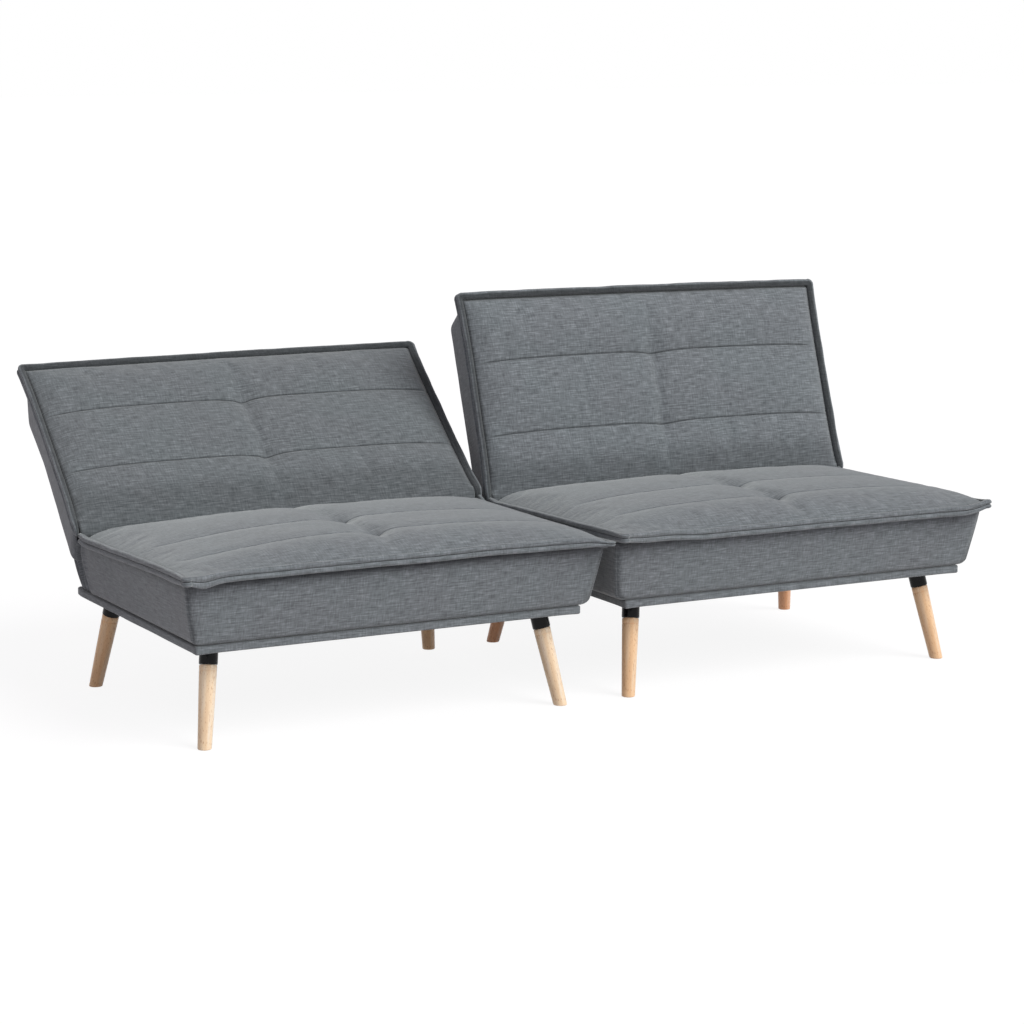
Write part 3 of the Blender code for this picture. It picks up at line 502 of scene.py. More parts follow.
def weave_of(piece):
    """The weave map's value at each vertex."""
    mesh = piece.data
    corners = np.zeros(len(mesh.loops) * 2, np.float32)
    mesh.uv_layers[WEAVE].data.foreach_get("uv", corners)
    owners = np.zeros(len(mesh.loops), np.int32)
    mesh.loops.foreach_get("vertex_index", owners)
    values = np.zeros((len(mesh.vertices), 2))
    values[owners] = corners.reshape(-1, 2)
    return values


def normals_of(piece):
    values = np.zeros(len(piece.data.vertices) * 3, np.float32)
    piece.data.vertex_normals.foreach_get("vector", values)
    return values.reshape(-1, 3).astype(float)


def stuff(piece, hold, pressure, reach, slack):
    """Puffs the cover up as cloth, held where hold is near 1, and lets no point move further than reach.

    slack is the share by which the cloth is larger than the shape that it is sewn round.
    """
    scene = bpy.context.scene
    rest = points_of(piece)
    group = piece.vertex_groups.new(name="sewn")
    for index, weight in enumerate(hold):
        if weight > 0.0:
            group.add([index], float(weight), "REPLACE")
    cloth = piece.modifiers.new("cloth", "CLOTH")
    settings = cloth.settings
    settings.quality = 4
    settings.mass = 0.3
    settings.tension_stiffness = 12.0
    settings.compression_stiffness = 6.0
    settings.shear_stiffness = 4.0
    settings.bending_stiffness = 0.35
    settings.shrink_min = -slack
    settings.use_pressure = True
    settings.uniform_pressure_force = pressure
    settings.vertex_group_mass = group.name
    settings.pin_stiffness = 1.0
    settings.effector_weights.gravity = 0.0
    cloth.point_cache.frame_start = 1
    cloth.point_cache.frame_end = CLOTH_FRAMES
    for step in range(1, CLOTH_FRAMES + 1):
        scene.frame_set(step)
    puffed = piece.evaluated_get(bpy.context.evaluated_depsgraph_get())
    values = np.zeros(len(rest) * 3, np.float32)
    puffed.data.vertices.foreach_get("co", values)
    moved = values.reshape(-1, 3) - rest
    length = np.linalg.norm(moved, axis=1, keepdims=True)
    moved *= np.minimum(1.0, reach / np.maximum(length, 1e-9))
    piece.modifiers.remove(cloth)
    piece.vertex_groups.remove(group)
    scene.frame_set(1)
    set_points(piece, rest + moved)


def refine(piece):
    """Applies one subdivision."""
    modifier = piece.modifiers.new("smooth", "SUBSURF")
    modifier.levels = modifier.render_levels = 1
    finer = bpy.data.meshes.new_from_object(piece.evaluated_get(bpy.context.evaluated_depsgraph_get()))
    piece.modifiers.remove(modifier)
    piece.data = finer
    finer.name = piece.name


def darken(piece, amount):
    """Adds shade in the creases; amount gives it from 0 to 1 for a point and its normal."""
    if SEAM_SHADE not in piece.data.attributes:
        piece.data.attributes.new(SEAM_SHADE, "FLOAT", "POINT")
    values = piece.data.attributes[SEAM_SHADE].data
    for vert in piece.data.vertices:
        values[vert.index].value = max(values[vert.index].value, amount(vert.co, vert.normal))


def sew_lines(piece, lines, faces):
    """Presses a narrow seam into the cloth along each line, on the faces that faces picks.

    A line gives the seam's depth from 0 to 1 at a place of the weave map.
    """
    points, normals, weave = points_of(piece), normals_of(piece), weave_of(piece)
    depth = np.zeros(len(points))
    for line in lines:
        depth = np.maximum(depth, line(weave[:, 0], weave[:, 1]))
    depth *= faces(points, normals)
    set_points(piece, points - normals * (SEAM_DEPTH * depth)[:, None])
    # The seam's depth is painted into the cloth's colour as shade too
    shade = piece.data.attributes.new(SEAM_SHADE, "FLOAT", "POINT")
    shade.data.foreach_set("value", depth.astype(np.float32))


# Where each module's pieces are

class Module:
    """Places of one module, read from its solids."""

    def __init__(self, side):
        joint = next(joint for joint in frame["joints"] if joint["name"] == f"{side}_recline")
        self.side = side
        self.seed = 1 if side == "left" else 2
        self.pivot = Vector(joint["pos_m"])
        self.recline = math.radians(90.0 - joint["range_deg"][1])
        self.x = self.pivot.x
        self.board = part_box(f"{side}_base_board")
        self.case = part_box(f"{side}_seat_cover")
        self.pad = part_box(f"{side}_seat_pad")
        self.seat = f"{side}_seat"
        self.back = f"{side}_back"
        self.hang_left, self.hang_right = SEAT_HANG[side]
        self.lift_left, self.lift_right = BACK_TOP_LIFT[side]
        self.low_draw_in = BACK_LOW_DRAW_IN[side]
        self.reach = BACK_REACH[side]
        # From a back's own axes to the room
        turn = Matrix.Rotation(-self.recline, 4, "X")
        self.to_room = Matrix.Translation(self.pivot) @ turn

    def seat_outline(self, u, v):
        """Plan of the seat cushion: u from -1 at the left to 1 at the right, v from 0 at the front to 1."""
        low, high = self.pad
        front = low.y + SEAT_CORNER_OUT * (1 - abs(u) ** 6)
        half = (high.x - low.x) / 2 - SEAT_SIDE_DRAW_IN
        half += SEAT_SIDE_DRAW_IN * (1 - v) ** 6 + (SEAT_SIDE_DRAW_IN - SEAT_REAR_DRAW_IN) * v ** 6
        corner = max((u - 0.8) / 0.2, 0.0) ** 2 * max(1 - v / 0.2, 0.0) ** 2
        corner = corner * SEAT_TIP_DRAW_IN[self.side] * 0.7
        return u * half - corner, front * (1 - v) + high.y * v + corner

    def hang(self, u, v):
        """How far the cushion's edge hangs down near its sides, at the same places as in seat_outline."""
        front, rear = self.hang_left if u < 0 else self.hang_right
        # The front edge's drop sets in smoothly from the left corner and dies away towards the rear
        begin, end = SEAT_FRONT_DROP[self.side]
        along = min(max((u + 0.82) / 0.28, 0.0), 1.0)
        drop = along * along * (3 - 2 * along) * (begin + (end - begin) * max(u + 0.4, 0.0))
        drop *= max(1 - v / 0.3, 0.0) ** 1.5
        return drop + (front + (rear - front) * v ** 0.7) * max((abs(u) - 0.86) / 0.14, 0.0) ** 1.6

    def back_top(self, x):
        """Height of the back's top edge above the pivot."""
        share = x / BACK_HALF_WIDTH
        lift = self.lift_left * (1 - share) / 2 + self.lift_right * (1 + share) / 2
        return BACK_HEIGHT + lift + 0.002 * (1 - share * share)

    def back_half(self, side, height):
        """Half width of the back's cushion at a height above the pivot; side is negative at the left."""
        bottom, top = self.reach[0 if side < 0 else 1]
        share = min(max(height / BACK_HEIGHT, 0.0), 1.0)
        waist = BACK_SIDE_DRAW_IN * (1 - (2 * share - 1) ** 4)
        return BACK_HALF_WIDTH + bottom + (top - bottom) * share - waist

    def case_rear_half(self, height):
        """Half width of the back's case at its rear."""
        share = min(max(height / 0.28, 0.0), 1.0)
        draw_in = BACK_REAR_SIDE_DRAW_IN * (self.low_draw_in + (1 - self.low_draw_in) * share)
        return BACK_HALF_WIDTH - BACK_CASE_INSET - draw_in

    def back_place(self, x, depth, height):
        """Room place of a point in the back's own axes; below the pivot it follows the knuckle round."""
        if height < 0:
            turn = -height / KNUCKLE_RADIUS
            return self.to_room @ Vector((x, depth * math.cos(turn), depth * math.sin(turn)))
        return self.to_room @ Vector((x, depth, height))


# Seat

def panel_puff(place, bounds):
    """Roundness of the panel that a place lies in: 0 at its seams and 1 in its middle."""
    for low, high in zip(bounds, bounds[1:]):
        if low <= place <= high:
            return math.sin(math.pi * (place - low) / (high - low)) ** 0.75
    return 0.0


def tuft_fall(hollows, seams, x, run):
    """Depth of the hollows round the tufts, which sit where the cross seams meet the middle."""
    fall = 0.0
    for seam in seams:
        away = math.hypot(x, run - seam)
        fall += sum(depth * bell(away, width) for depth, width in hollows)
    return fall


def seat_rise(module, u, v, x, depth, length):
    """Height of the seat's top above its edge, at a depth behind its front edge."""
    power, flatness = SEAT_LEFT_FALL[module.side] if u < 0 else SEAT_RIGHT_FALL
    across = (1 - abs(u) ** power) ** flatness
    rise_depth, steepness = SEAT_FRONT_RISE
    front = 1 - (1 - min(v / rise_depth, 1.0)) ** steepness
    start, share, steepness = SEAT_REAR_FALL
    rear = 1 - share * max((v - start) / (1 - start), 0.0) ** steepness
    first, second = SEAT_SEAMS
    puff = panel_puff(depth, (0.0, first, second, length))
    # The fold down the middle is as deep behind the tufts as between them, strays to the left there and
    # fades towards the front
    between = bell(max(first - depth, depth - second, 0.0), 0.07)
    behind = min(max((depth - second) / 0.06, 0.0), 1.0)
    fold_depth, width, wider = SEAT_FOLD
    crease = 0.25 + 1.0 * between + 0.85 * behind
    crease *= bell(x + 0.004 * behind, width + wider * (1 - between))
    height, wave = SEAT_SLACK
    rise = SEAT_CROWN * across * front * rear
    rise += SEAT_PUFF * puff * across * (1 - 0.9 * min(crease, 1.0)) - fold_depth * crease * across
    rise += height * ripple((x, depth, 0), wave, module.seed) * across
    return rise - tuft_fall(SEAT_HOLLOWS, SEAT_SEAMS, x, depth) * across


def make_seat_pad(module, finishes):
    """Tufted cushion: cross seams, a fold down the middle through two tufts, edges drawn in at the sides."""
    low, high = module.pad
    front = low.y + SEAT_CORNER_OUT
    length = high.y - front
    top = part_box(f"{module.side}_seat_welt")[1].z - SEAT_EDGE_BELOW_WELT
    columns = marks_between(-1.0, 1.0, 2 * CLOTH_STEP / (high.x - low.x))
    rows = marks_between(0.0, length, CLOTH_STEP, SEAT_SEAMS)

    def place(u, depth, level):
        v = depth / length
        x, y = module.seat_outline(u, v)
        rise = seat_rise(module, u, v, x, depth, length) if level == 1.0 else 0.0
        rise += SEAT_RIGHT_SWELL[0] * level * max((u - 0.9) / 0.1, 0.0) ** 2 * (1 - bell(v, 0.12))
        return Vector((module.x + x, y, low.z + (top - low.z) * level + rise - module.hang(u, v)))

    pad = soft_box(f"{module.side}_seat_cushion", (columns, rows, (0.0, 0.5, 1.0)), place)
    points = points_of(pad)
    x, depth = points[:, 0] - module.x, points[:, 1] - front
    half = (high.x - low.x) / 2
    # Only the top puffs up, between the tufts and seams that hold it
    lifted = (points[:, 2] > top - 0.010) & (normals_of(pad)[:, 2] > 0.5)
    lifted &= (np.abs(x) < 0.955 * half) & (depth > 0.006) & (depth < length - 0.004)
    seams = np.zeros(len(points))
    for seam in SEAT_SEAMS:
        ends = np.clip((0.40 - np.abs(x)) / 0.1, 0, 1)
        seams = np.maximum(seams, 0.9 * ends * (np.abs(depth - seam) < SEWN_WITHIN))
        seams = np.maximum(seams, np.exp(-((x ** 2 + (depth - seam) ** 2) / TUFT_RADIUS ** 2)))
    stuff(pad, np.where(lifted, seams, 1.0), pressure=0.8, reach=0.003, slack=0.0025)
    refine(pad)

    def seam_line(seam):
        def line(x, y):
            ends = 0.8 * np.clip((0.43 - np.abs(x - module.x)) / 0.12, 0, 1)
            return ends * np.exp(-(((y - front - seam) / SEAM_WIDTH) ** 2))
        return line

    def rim(x, y):
        """Where the cushion dives under the piping."""
        share = np.clip((y - front) / length, 0, 1)
        edge = half - SEAT_SIDE_DRAW_IN + SEAT_SIDE_DRAW_IN * (1 - share) ** 6
        edge += (SEAT_SIDE_DRAW_IN - SEAT_REAR_DRAW_IN) * share ** 6
        side = edge - np.abs(x - module.x)
        fore = y - (low.y + SEAT_CORNER_OUT * (1 - np.minimum(np.abs(x - module.x) / edge, 1) ** 6))
        return np.exp(-((np.minimum(side, fore) / RIM_WIDTH) ** 2))

    lines = [seam_line(seam) for seam in SEAT_SEAMS] + [rim]
    sew_lines(pad, lines, lambda points, normals: (normals[:, 2] > 0.15) * 1.0)
    dress(pad, finishes["linen"], "linen_weave", module.seat, f"{module.side}_seat_pad")


def make_seat_case(module, finishes):
    """Fabric case of the seat box: it flares upwards and has an upright seam at each front corner."""
    low, high = module.case
    height = high.z - CASE_BOTTOM
    half = (high.x - low.x) / 2 - CASE_FLARE_SIDE * height
    reach_left, reach_right = CASE_REACH[module.side]
    front = low.y + CASE_FLARE_FRONT * height
    limits = ((-half, half), (front, high.y), (CASE_BOTTOM, high.z + 1.0))
    xs = edge_marks(-half, half, CASE_ROUND[0], 0.012)
    ys = edge_marks(front, high.y, CASE_ROUND[1], 0.012)
    zs = edge_marks(CASE_BOTTOM, high.z, CASE_ROUND[2], 0.009, last=False)
    belly, waves, wave_length = CASE_BELLY

    def place(*spot):
        """Leans the sides and the front out, lets them belly and drops the rear's top below the hinge."""
        x, y, z = round_off(spot, limits, CASE_ROUND)
        rise = z - CASE_BOTTOM
        body = math.sin(math.pi * min(max(rise / height, 0.0), 1.0))
        full = (belly + waves * ripple((x, y, z), wave_length, module.seed)) * body
        rearward = min(max((y - (high.y - 0.012)) / 0.006, 0.0), 1.0)
        forward = (high.y - y) / (high.y - front)
        side, fore = bell(abs(x) - half, 0.004), bell(y - front, 0.004)
        bottom, top = reach_left if x < 0 else reach_right
        # The reach dies away towards the rear, where the case is nailed to the frame
        out = (bottom + (top - bottom) * min(rise / height, 1.0)) * min(forward * 2.5, 1.0)
        wide = 1 + (CASE_FLARE_SIDE * rise + out) / half
        return Vector((module.x + x * wide + math.copysign(full * side, x),
                       y - CASE_FLARE_FRONT * rise * forward - full * fore,
                       CASE_BOTTOM + rise * (1 - CASE_REAR_DROP / height * rearward)))

    def open_top(face, axis, sign):
        return axis == 2 and sign > 0

    case = soft_box(f"{module.side}_seat_case", (xs, ys, zs), place, open_top)
    refine(case)

    def corner_seam(points, normals):
        """The upright seam where the side panel meets the front panel."""
        lean = (points[:, 2] - CASE_BOTTOM) * CASE_FLARE_FRONT * 0.97
        away = points[:, 1] - (front + CASE_ROUND[1] - lean - 0.004)
        outside = np.abs(points[:, 0] - module.x) > half - 0.004
        width, depth = CASE_SEAM
        return depth * np.exp(-((away / width) ** 2)) * outside

    def shade(point, normal):
        """Painted shade where the case meets the board, and under the piping."""
        over_board = bell(point.z - CASE_BOTTOM, 0.0032) * (normal.z > -0.7)
        return 0.95 * max(over_board, bell(high.z - point.z, 0.013))

    sew_lines(case, [lambda x, y: np.ones(len(x))], corner_seam)
    darken(case, shade)
    dress(case, finishes["linen"], "linen_weave", module.seat, f"{module.side}_seat_cover")


def make_base_board(module, finishes):
    """Board wrapped in the same fabric, its edges softened by the wrap."""
    low, high = module.board
    half = (high.x - low.x) / 2 + BOARD_REACH
    front, top = low.y - BOARD_FRONT_REACH, CASE_BOTTOM - 0.0002
    limits = ((-half, half), (front, high.y), (low.z, top))
    steps = (0.02, 0.02, 0.006)
    marks = [edge_marks(*limit, radius, step) for limit, radius, step in zip(limits, BOARD_ROUND, steps)]
    height, wave_length = BOARD_SLACK
    sag_depth, sag_width = BOARD_SAG
    pinch_depth, pinch_length = BOARD_PINCH

    def place(*spot):
        x, y, z = round_off(spot, limits, BOARD_ROUND)
        wave = height * ripple((x, y, z), wave_length, module.seed + 4) - 0.0006
        # The sag is deepest at the front corners
        side, end = bell(half - abs(x), sag_width), bell(y - front, sag_width)
        under = (top - z) / (top - low.z)
        sag = sag_depth * under * min(side + end, 1.5)
        pinch = pinch_depth * max(1 - (high.y - y) / pinch_length, 0.0) ** 2
        return Vector((module.x + x * (1 + (wave - pinch) / half), y * (1 + wave / abs(low.y)), z - sag))

    board = soft_box(f"{module.side}_wrapped_board", marks, place)
    refine(board)
    # Painted shade along the board's top, where the case stands on it
    darken(board, lambda point, normal: 0.9 * bell(CASE_BOTTOM - point.z, 0.0026))
    dress(board, finishes["linen"], "linen_weave", module.seat, f"{module.side}_base_board")


# Piping

def roll_section(width, height):
    """Outline of two rolls side by side as (outwards, along their stack), flat towards the cushion."""
    radius = height / 4
    centre = width - radius
    points = [(0.0, 0.05 * height)]
    for middle in (radius, height - radius):
        low, high = (-105, 80) if middle == radius else (-80, 105)
        for k in range(ROLL_STEPS + 1):
            angle = math.radians(low + (high - low) * k / ROLL_STEPS)
            points.append((centre + radius * math.cos(angle), middle + radius * math.sin(angle)))
    points.append((0.0, 0.95 * height))
    points.append((-0.0015, 0.5 * height))
    return points


def make_welt(name, stations, section, put):
    """Sweeps the rolls' outline along the stations; put turns (station, outwards, stack) into a place."""
    bm = bmesh.new()
    layer = bm.loops.layers.uv.new(WEAVE)
    shade = bm.verts.layers.float.new(SEAM_SHADE)
    count, around = len(stations) - 1, len(section)
    bmesh.ops.create_grid(bm, x_segments=count, y_segments=around, size=1.0)
    girth = [0.0]
    for k in range(around):
        girth.append(girth[-1] + math.dist(section[k], section[(k + 1) % around]))
    run = [0.0]
    for before, after in zip(stations, stations[1:]):
        run.append(run[-1] + max((after["at"] - before["at"]).length, 0.002))
    spots = {vert: (round((vert.co.x + 1) / 2 * count), round((vert.co.y + 1) / 2 * around))
             for vert in bm.verts}
    for face in bm.faces:
        for loop in face.loops:
            i, j = spots[loop.vert]
            loop[layer].uv = (run[i], girth[j])
    # Painted shade in the groove between the rolls, where they meet the cushion and under the lower roll
    dark = {place: 1.0 for place in (0, 1, ROLL_STEPS + 1, ROLL_STEPS + 2, around - 2, around - 1)}
    dark[2] = 0.5
    for vert, (i, j) in spots.items():
        vert.co = put(stations[i], *section[j % around])
        vert[shade] = dark.get(j % around, 0.0)
    bmesh.ops.remove_doubles(bm, verts=bm.verts, dist=1e-6)
    bmesh.ops.holes_fill(bm, edges=[edge for edge in bm.edges if edge.is_boundary], sides=0)
    return finish_piece(name, bm)


def stations_along(path, corner_reach, shares):
    """Rings for a path of plan points with the outside on its right; sharp corners get a fan of rings."""
    stations = []
    for k, (point, share) in enumerate(zip(path, shares)):
        here = Vector(point)
        before = (here - Vector(path[k - 1])).normalized() if k else None
        after = (Vector(path[k + 1]) - here).normalized() if k + 1 < len(path) else None
        sides = [Vector((step.y, -step.x)) for step in (before, after) if step is not None]
        turn = sides[0].angle(sides[-1])
        if turn < math.radians(30):
            out = sum(sides, Vector((0, 0))).normalized()
            stations.append({"at": here, "out": out, "corner": 0.0, "share": share})
            continue
        for j in range(CORNER_STEPS + 1):
            part = j / CORNER_STEPS
            out = (sides[0] * math.cos(turn * part) + sides[1] * math.sin(turn * part)).normalized()
            corner = corner_reach * math.sin(math.pi * part)
            stations.append({"at": here, "out": out, "corner": corner, "share": share})
    corners = [station["at"] for station in stations if station["corner"] > 0]
    for station in stations:
        station["near"] = bell(min((station["at"] - corner).length for corner in corners), CORNER_WIDTH)
    return stations


def make_seat_welt(module, finishes):
    """Double piping along the seat's left side, its front and its right side, a tip at each front corner."""
    low, high = module.pad
    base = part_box(f"{module.side}_seat_welt")[0].z
    side_steps = round((high.y - low.y) / WELT_STEP)
    front_steps = round((high.x - low.x) / WELT_STEP)
    shares = [(-1.0, 1 - k / side_steps) for k in range(side_steps + 1)]
    shares += [(2 * k / front_steps - 1, 0.0) for k in range(1, front_steps)]
    shares += [(1.0, k / side_steps) for k in range(side_steps + 1)]
    path = [module.seat_outline(*share) for share in shares]
    stations = stations_along(path, 0.3, shares)
    section = roll_section(SEAT_WELT_WIDTH, WELT_HEIGHT)
    corner = Vector(module.seat_outline(-1.0, 0.0))

    def put(station, out, stack):
        x, y = station["at"]
        near = station["near"]
        wander, wave_length = SEAT_WELT_WANDER
        wobble = 1 + wander * ripple((x, y, stack * 20), wave_length, module.seed + 8)
        # The rear ends narrow and run on until they meet the back
        ending = bell(high.y - y, 0.012)
        reach = out * wobble * (1 + station["corner"] * (0.5 if x > 0 else 1.0)) * (1 - 0.25 * ending)
        thin = near * SEAT_TIP_THIN[module.side][x > 0]
        level = (stack - WELT_HEIGHT / 2) * (1 - thin) + WELT_HEIGHT / 2
        from_corner = (station["at"] - corner).length
        if station["share"][1] == 0.0:
            depth, middle, width = SEAT_DROOP[module.side]
            level -= depth * bell(from_corner - middle, width) * (1.3 - stack / WELT_HEIGHT)
        if station["share"][0] == 1.0:
            level -= SEAT_RIGHT_SWELL[1] * (1 - bell(y - low.y, 0.04)) * (1 - ending)
        lift = 0.0014 * ripple((x, y, 0), 0.12, module.seed + 9) + 0.005 * bell(high.y - y, 0.022)
        plan = station["at"] + station["out"] * reach
        rearward = 0.007 * bell(high.y - y, 0.02)
        height = base + level + lift - module.hang(*station["share"])
        return Vector((module.x + plan.x, plan.y + rearward, height))

    welt = make_welt(f"{module.side}_seat_piping", stations, section, put)
    dress(welt, finishes["linen"], "linen_weave", module.seat, f"{module.side}_seat_welt")


def make_back_welt(module, finishes):
    """Double piping up the back's left side, along its top and down its right side.

    Its ends turn round the knuckle, the cushion's rounded lower end, which wraps the hinge.
    """
    up_steps = round(BACK_HEIGHT / WELT_STEP)
    across_steps = round(2 * BACK_HALF_WIDTH / WELT_STEP)
    heights = [-WELT_WRAP * (5 - k) / 5 for k in range(5)]
    heights += [BACK_HEIGHT * k / up_steps for k in range(up_steps + 1)]

    def up_side(side):
        half = module.back_half(side, BACK_HEIGHT)
        stretch = module.back_top(side * half) / BACK_HEIGHT
        return [(side * module.back_half(side, z), z * (stretch if z > 0 else 1)) for z in heights]

    left, right = up_side(-1), up_side(1)[::-1]
    start, end = left[-1][0], right[0][0]
    across = [start + (end - start) * k / across_steps for k in range(1, across_steps)]
    path = left + [(x, module.back_top(x)) for x in across] + right
    stations = stations_along(path[::-1], 0.08, path[::-1])
    section = roll_section(BACK_WELT_WIDTH, WELT_HEIGHT)

    def put(station, out, stack):
        x, z = station["at"]
        wander, wave_length = BACK_WELT_WANDER
        wobble = 1 + wander * ripple((x, z, stack * 20), wave_length, module.seed + 20)
        taper = 1 - 0.5 * min(max(-z / WELT_WRAP, 0.0), 1.0) ** 1.5
        lie = 1 + BACK_WELT_LIE[station["out"].x > 0] * station["out"].x
        plan = station["at"] + station["out"] * out * wobble * taper * lie * (1 + station["corner"])
        bend = 0.0015 * ripple((x, z, 0), 0.10, module.seed + 21)
        return module.back_place(plan.x, BACK_FACE + stack + bend, plan.y)

    welt = make_welt(f"{module.side}_back_piping", stations, section, put)
    dress(welt, finishes["linen"], "linen_weave", module.back, f"{module.side}_back_welt")


# Back

def back_rise(module, u, height, x):
    """How far the back's face stands proud of the front of its frame."""
    share = min(max(height / BACK_HEIGHT, 0.0), 1.0)
    across = (1 - abs(u) ** 6) ** 0.7
    along = (1 - abs(2 * share - 1) ** 5) ** 0.7
    puff = panel_puff(share * BACK_HEIGHT, (0.0, *BACK_SEAMS, BACK_HEIGHT))
    low, high = BACK_SEAMS
    # The fold down the middle runs between the tufts
    between = bell(max(low - height, height - high, 0.0), 0.05)
    fold_depth, width = BACK_FOLD
    crease = between * bell(x, width)
    wave_height, wave_length = BACK_SLACK
    rise = BACK_CROWN * across * along + BACK_PUFF * puff * across * (1 - 0.8 * crease) - fold_depth * crease
    rise += wave_height * ripple((x, height, 0), wave_length, module.seed + 30) * across * along
    dip, width = BACK_EDGE_DIP
    edge = max(bell((1 - abs(u)) * BACK_HALF_WIDTH, width), bell(BACK_HEIGHT - height, width))
    return rise - tuft_fall(BACK_HOLLOWS, BACK_SEAMS, x, height) * across - dip * edge


def seam_sag(x):
    """How far a back seam lies below its straight line: it dips to the tuft and droops to the sides."""
    dip, width, droop = BACK_SEAM_SAG
    return dip * bell(x, width) + droop * abs(x / BACK_HALF_WIDTH) ** 6


def seam_height(module, seam, x):
    """Height of a back seam, which the bowed top lifts."""
    return seam * module.back_top(x) / BACK_HEIGHT - seam_sag(x)


def make_back_pad(module, finishes):
    """Cushion on the back's front, which wraps the hinge at its lower end."""
    wrap = KNUCKLE_RADIUS * KNUCKLE_WRAP
    inner = KNUCKLE_RADIUS - KNUCKLE_WALL
    columns = marks_between(-1.0, 1.0, CLOTH_STEP / BACK_HALF_WIDTH)
    rows = marks_between(-wrap, BACK_HEIGHT, CLOTH_STEP, BACK_SEAMS)

    def place(u, level, height):
        # Below the pivot the cushion narrows a little, and most at its very end
        narrowed = 0.002 + 0.009 * (-height / wrap) ** 3 if height < 0 else 0.0
        x = u * (module.back_half(u, height) - narrowed)
        if height < 0:
            angle = math.pi - height / KNUCKLE_RADIUS
            reach = KNUCKLE_RADIUS + (inner - KNUCKLE_RADIUS) * level
            return Vector((x, reach * math.cos(angle), reach * math.sin(angle)))
        lifted = height * module.back_top(x) / BACK_HEIGHT
        if level == 0.0:
            near = sum(bell(height - seam, 0.05) for seam in BACK_SEAMS)
            sag = near * seam_sag(x)
            return Vector((x, BACK_FACE - back_rise(module, u, height, x), lifted - sag))
        rear = -math.sqrt(max(inner ** 2 - height ** 2, BACK_PAD_REAR ** 2))
        return Vector((x, BACK_FACE + (rear - BACK_FACE) * level, lifted))

    pad = soft_box(f"{module.side}_back_cushion", (columns, (0.0, 0.5, 1.0), rows), place)
    points = points_of(pad)
    x, z = points[:, 0], points[:, 2]
    # Only the face puffs up, between the tufts and seams that hold it
    lifted = (points[:, 1] < BACK_FACE - 0.0004) & (z > 0.006)
    seams = np.zeros(len(points))
    for seam in BACK_SEAMS:
        away = z - np.array([seam_height(module, seam, value) for value in x])
        ends = np.clip((0.42 - np.abs(x)) / 0.06, 0, 1)
        seams = np.maximum(seams, 0.9 * ends * (np.abs(away) < SEWN_WITHIN))
        seams = np.maximum(seams, np.exp(-(x ** 2 + away ** 2) / TUFT_RADIUS ** 2))
    stuff(pad, np.where(lifted, seams, 1.0), pressure=1.5, reach=0.0045, slack=0.006)
    refine(pad)

    def seam_line(seam):
        def line(x, z):
            away = z - np.array([seam_height(module, seam, value) for value in x])
            return np.clip((0.436 - np.abs(x)) / 0.04, 0, 1) * np.exp(-((away / SEAM_WIDTH) ** 2))
        return line

    def rim(x, z):
        """Where the cushion dives behind the piping."""
        side = np.array([module.back_half(a, b) for a, b in zip(x, z)]) - np.abs(x)
        over = np.array([module.back_top(value) for value in x]) - z
        return np.exp(-((np.minimum(side, over) / RIM_WIDTH) ** 2))

    lines = [seam_line(seam) for seam in BACK_SEAMS] + [rim]
    sew_lines(pad, lines, lambda points, normals: (normals[:, 1] < -0.15) * 1.0)
    # Dark towards the seat, where little light gets in
    darken(pad, lambda point, normal: 0.34 * bell(max(point.z - 0.035, 0.0), 0.030))
    pad.data.transform(module.to_room)
    cloth = finishes["shaded_linen" if module.side == "left" else "linen"]
    dress(pad, cloth, "linen_weave", module.back, f"{module.side}_back_pad")


def make_back_case(module, finishes):
    """Deep case behind the cushion: narrower and lower towards its rounded rear edges."""
    half = BACK_HALF_WIDTH - BACK_CASE_INSET
    top = BACK_HEIGHT - BACK_CASE_INSET
    radii = (BACK_CASE_ROUND,) * 3
    limits = ((-half, half), (BACK_CASE_FRONT - 1.0, BACK_CASE_REAR), (0.0, top))
    belly, waves, wave_length = BACK_CASE_BELLY
    slack, slack_length = BACK_CASE_SLACK

    def place(*spot):
        x, y, z = round_off(spot, limits, radii)
        share = (y - BACK_CASE_FRONT) / (BACK_CASE_REAR - BACK_CASE_FRONT)
        front_half = module.back_half(x, z) - BACK_CASE_INSET
        px = x / half * (front_half + (module.case_rear_half(z) - front_half) * share)
        pz = z * module.back_top(px) / BACK_HEIGHT * (1 - BACK_REAR_DROP / top * share)
        middle = max((1 - (px / half) ** 4) * (1 - (2 * pz / top - 1) ** 4), 0.0)
        swell = share ** 6 * middle * (belly + waves * ripple((px, pz, 0), wave_length, module.seed + 40))
        wave = slack * ripple((y, pz, 1), slack_length, module.seed + 41)
        return Vector((px + math.copysign(wave, px), y + swell, pz))

    def open_face(face, axis, sign):
        under = axis == 2 and sign < 0 and face.calc_center_median().y < BACK_CASE_HINGE_ROOM
        return (axis == 1 and sign < 0) or under

    xs = edge_marks(-half, half, BACK_CASE_ROUND, 0.011)
    ys = edge_marks(BACK_CASE_FRONT, BACK_CASE_REAR, BACK_CASE_ROUND, 0.009, first=False)
    zs = edge_marks(0.0, top, BACK_CASE_ROUND, 0.011)
    case = soft_box(f"{module.side}_back_case", (xs, ys, zs), place, open_face)
    refine(case)
    case.data.transform(module.to_room)
    dress(case, finishes["linen"], "linen_weave", module.back, f"{module.side}_back_cover")


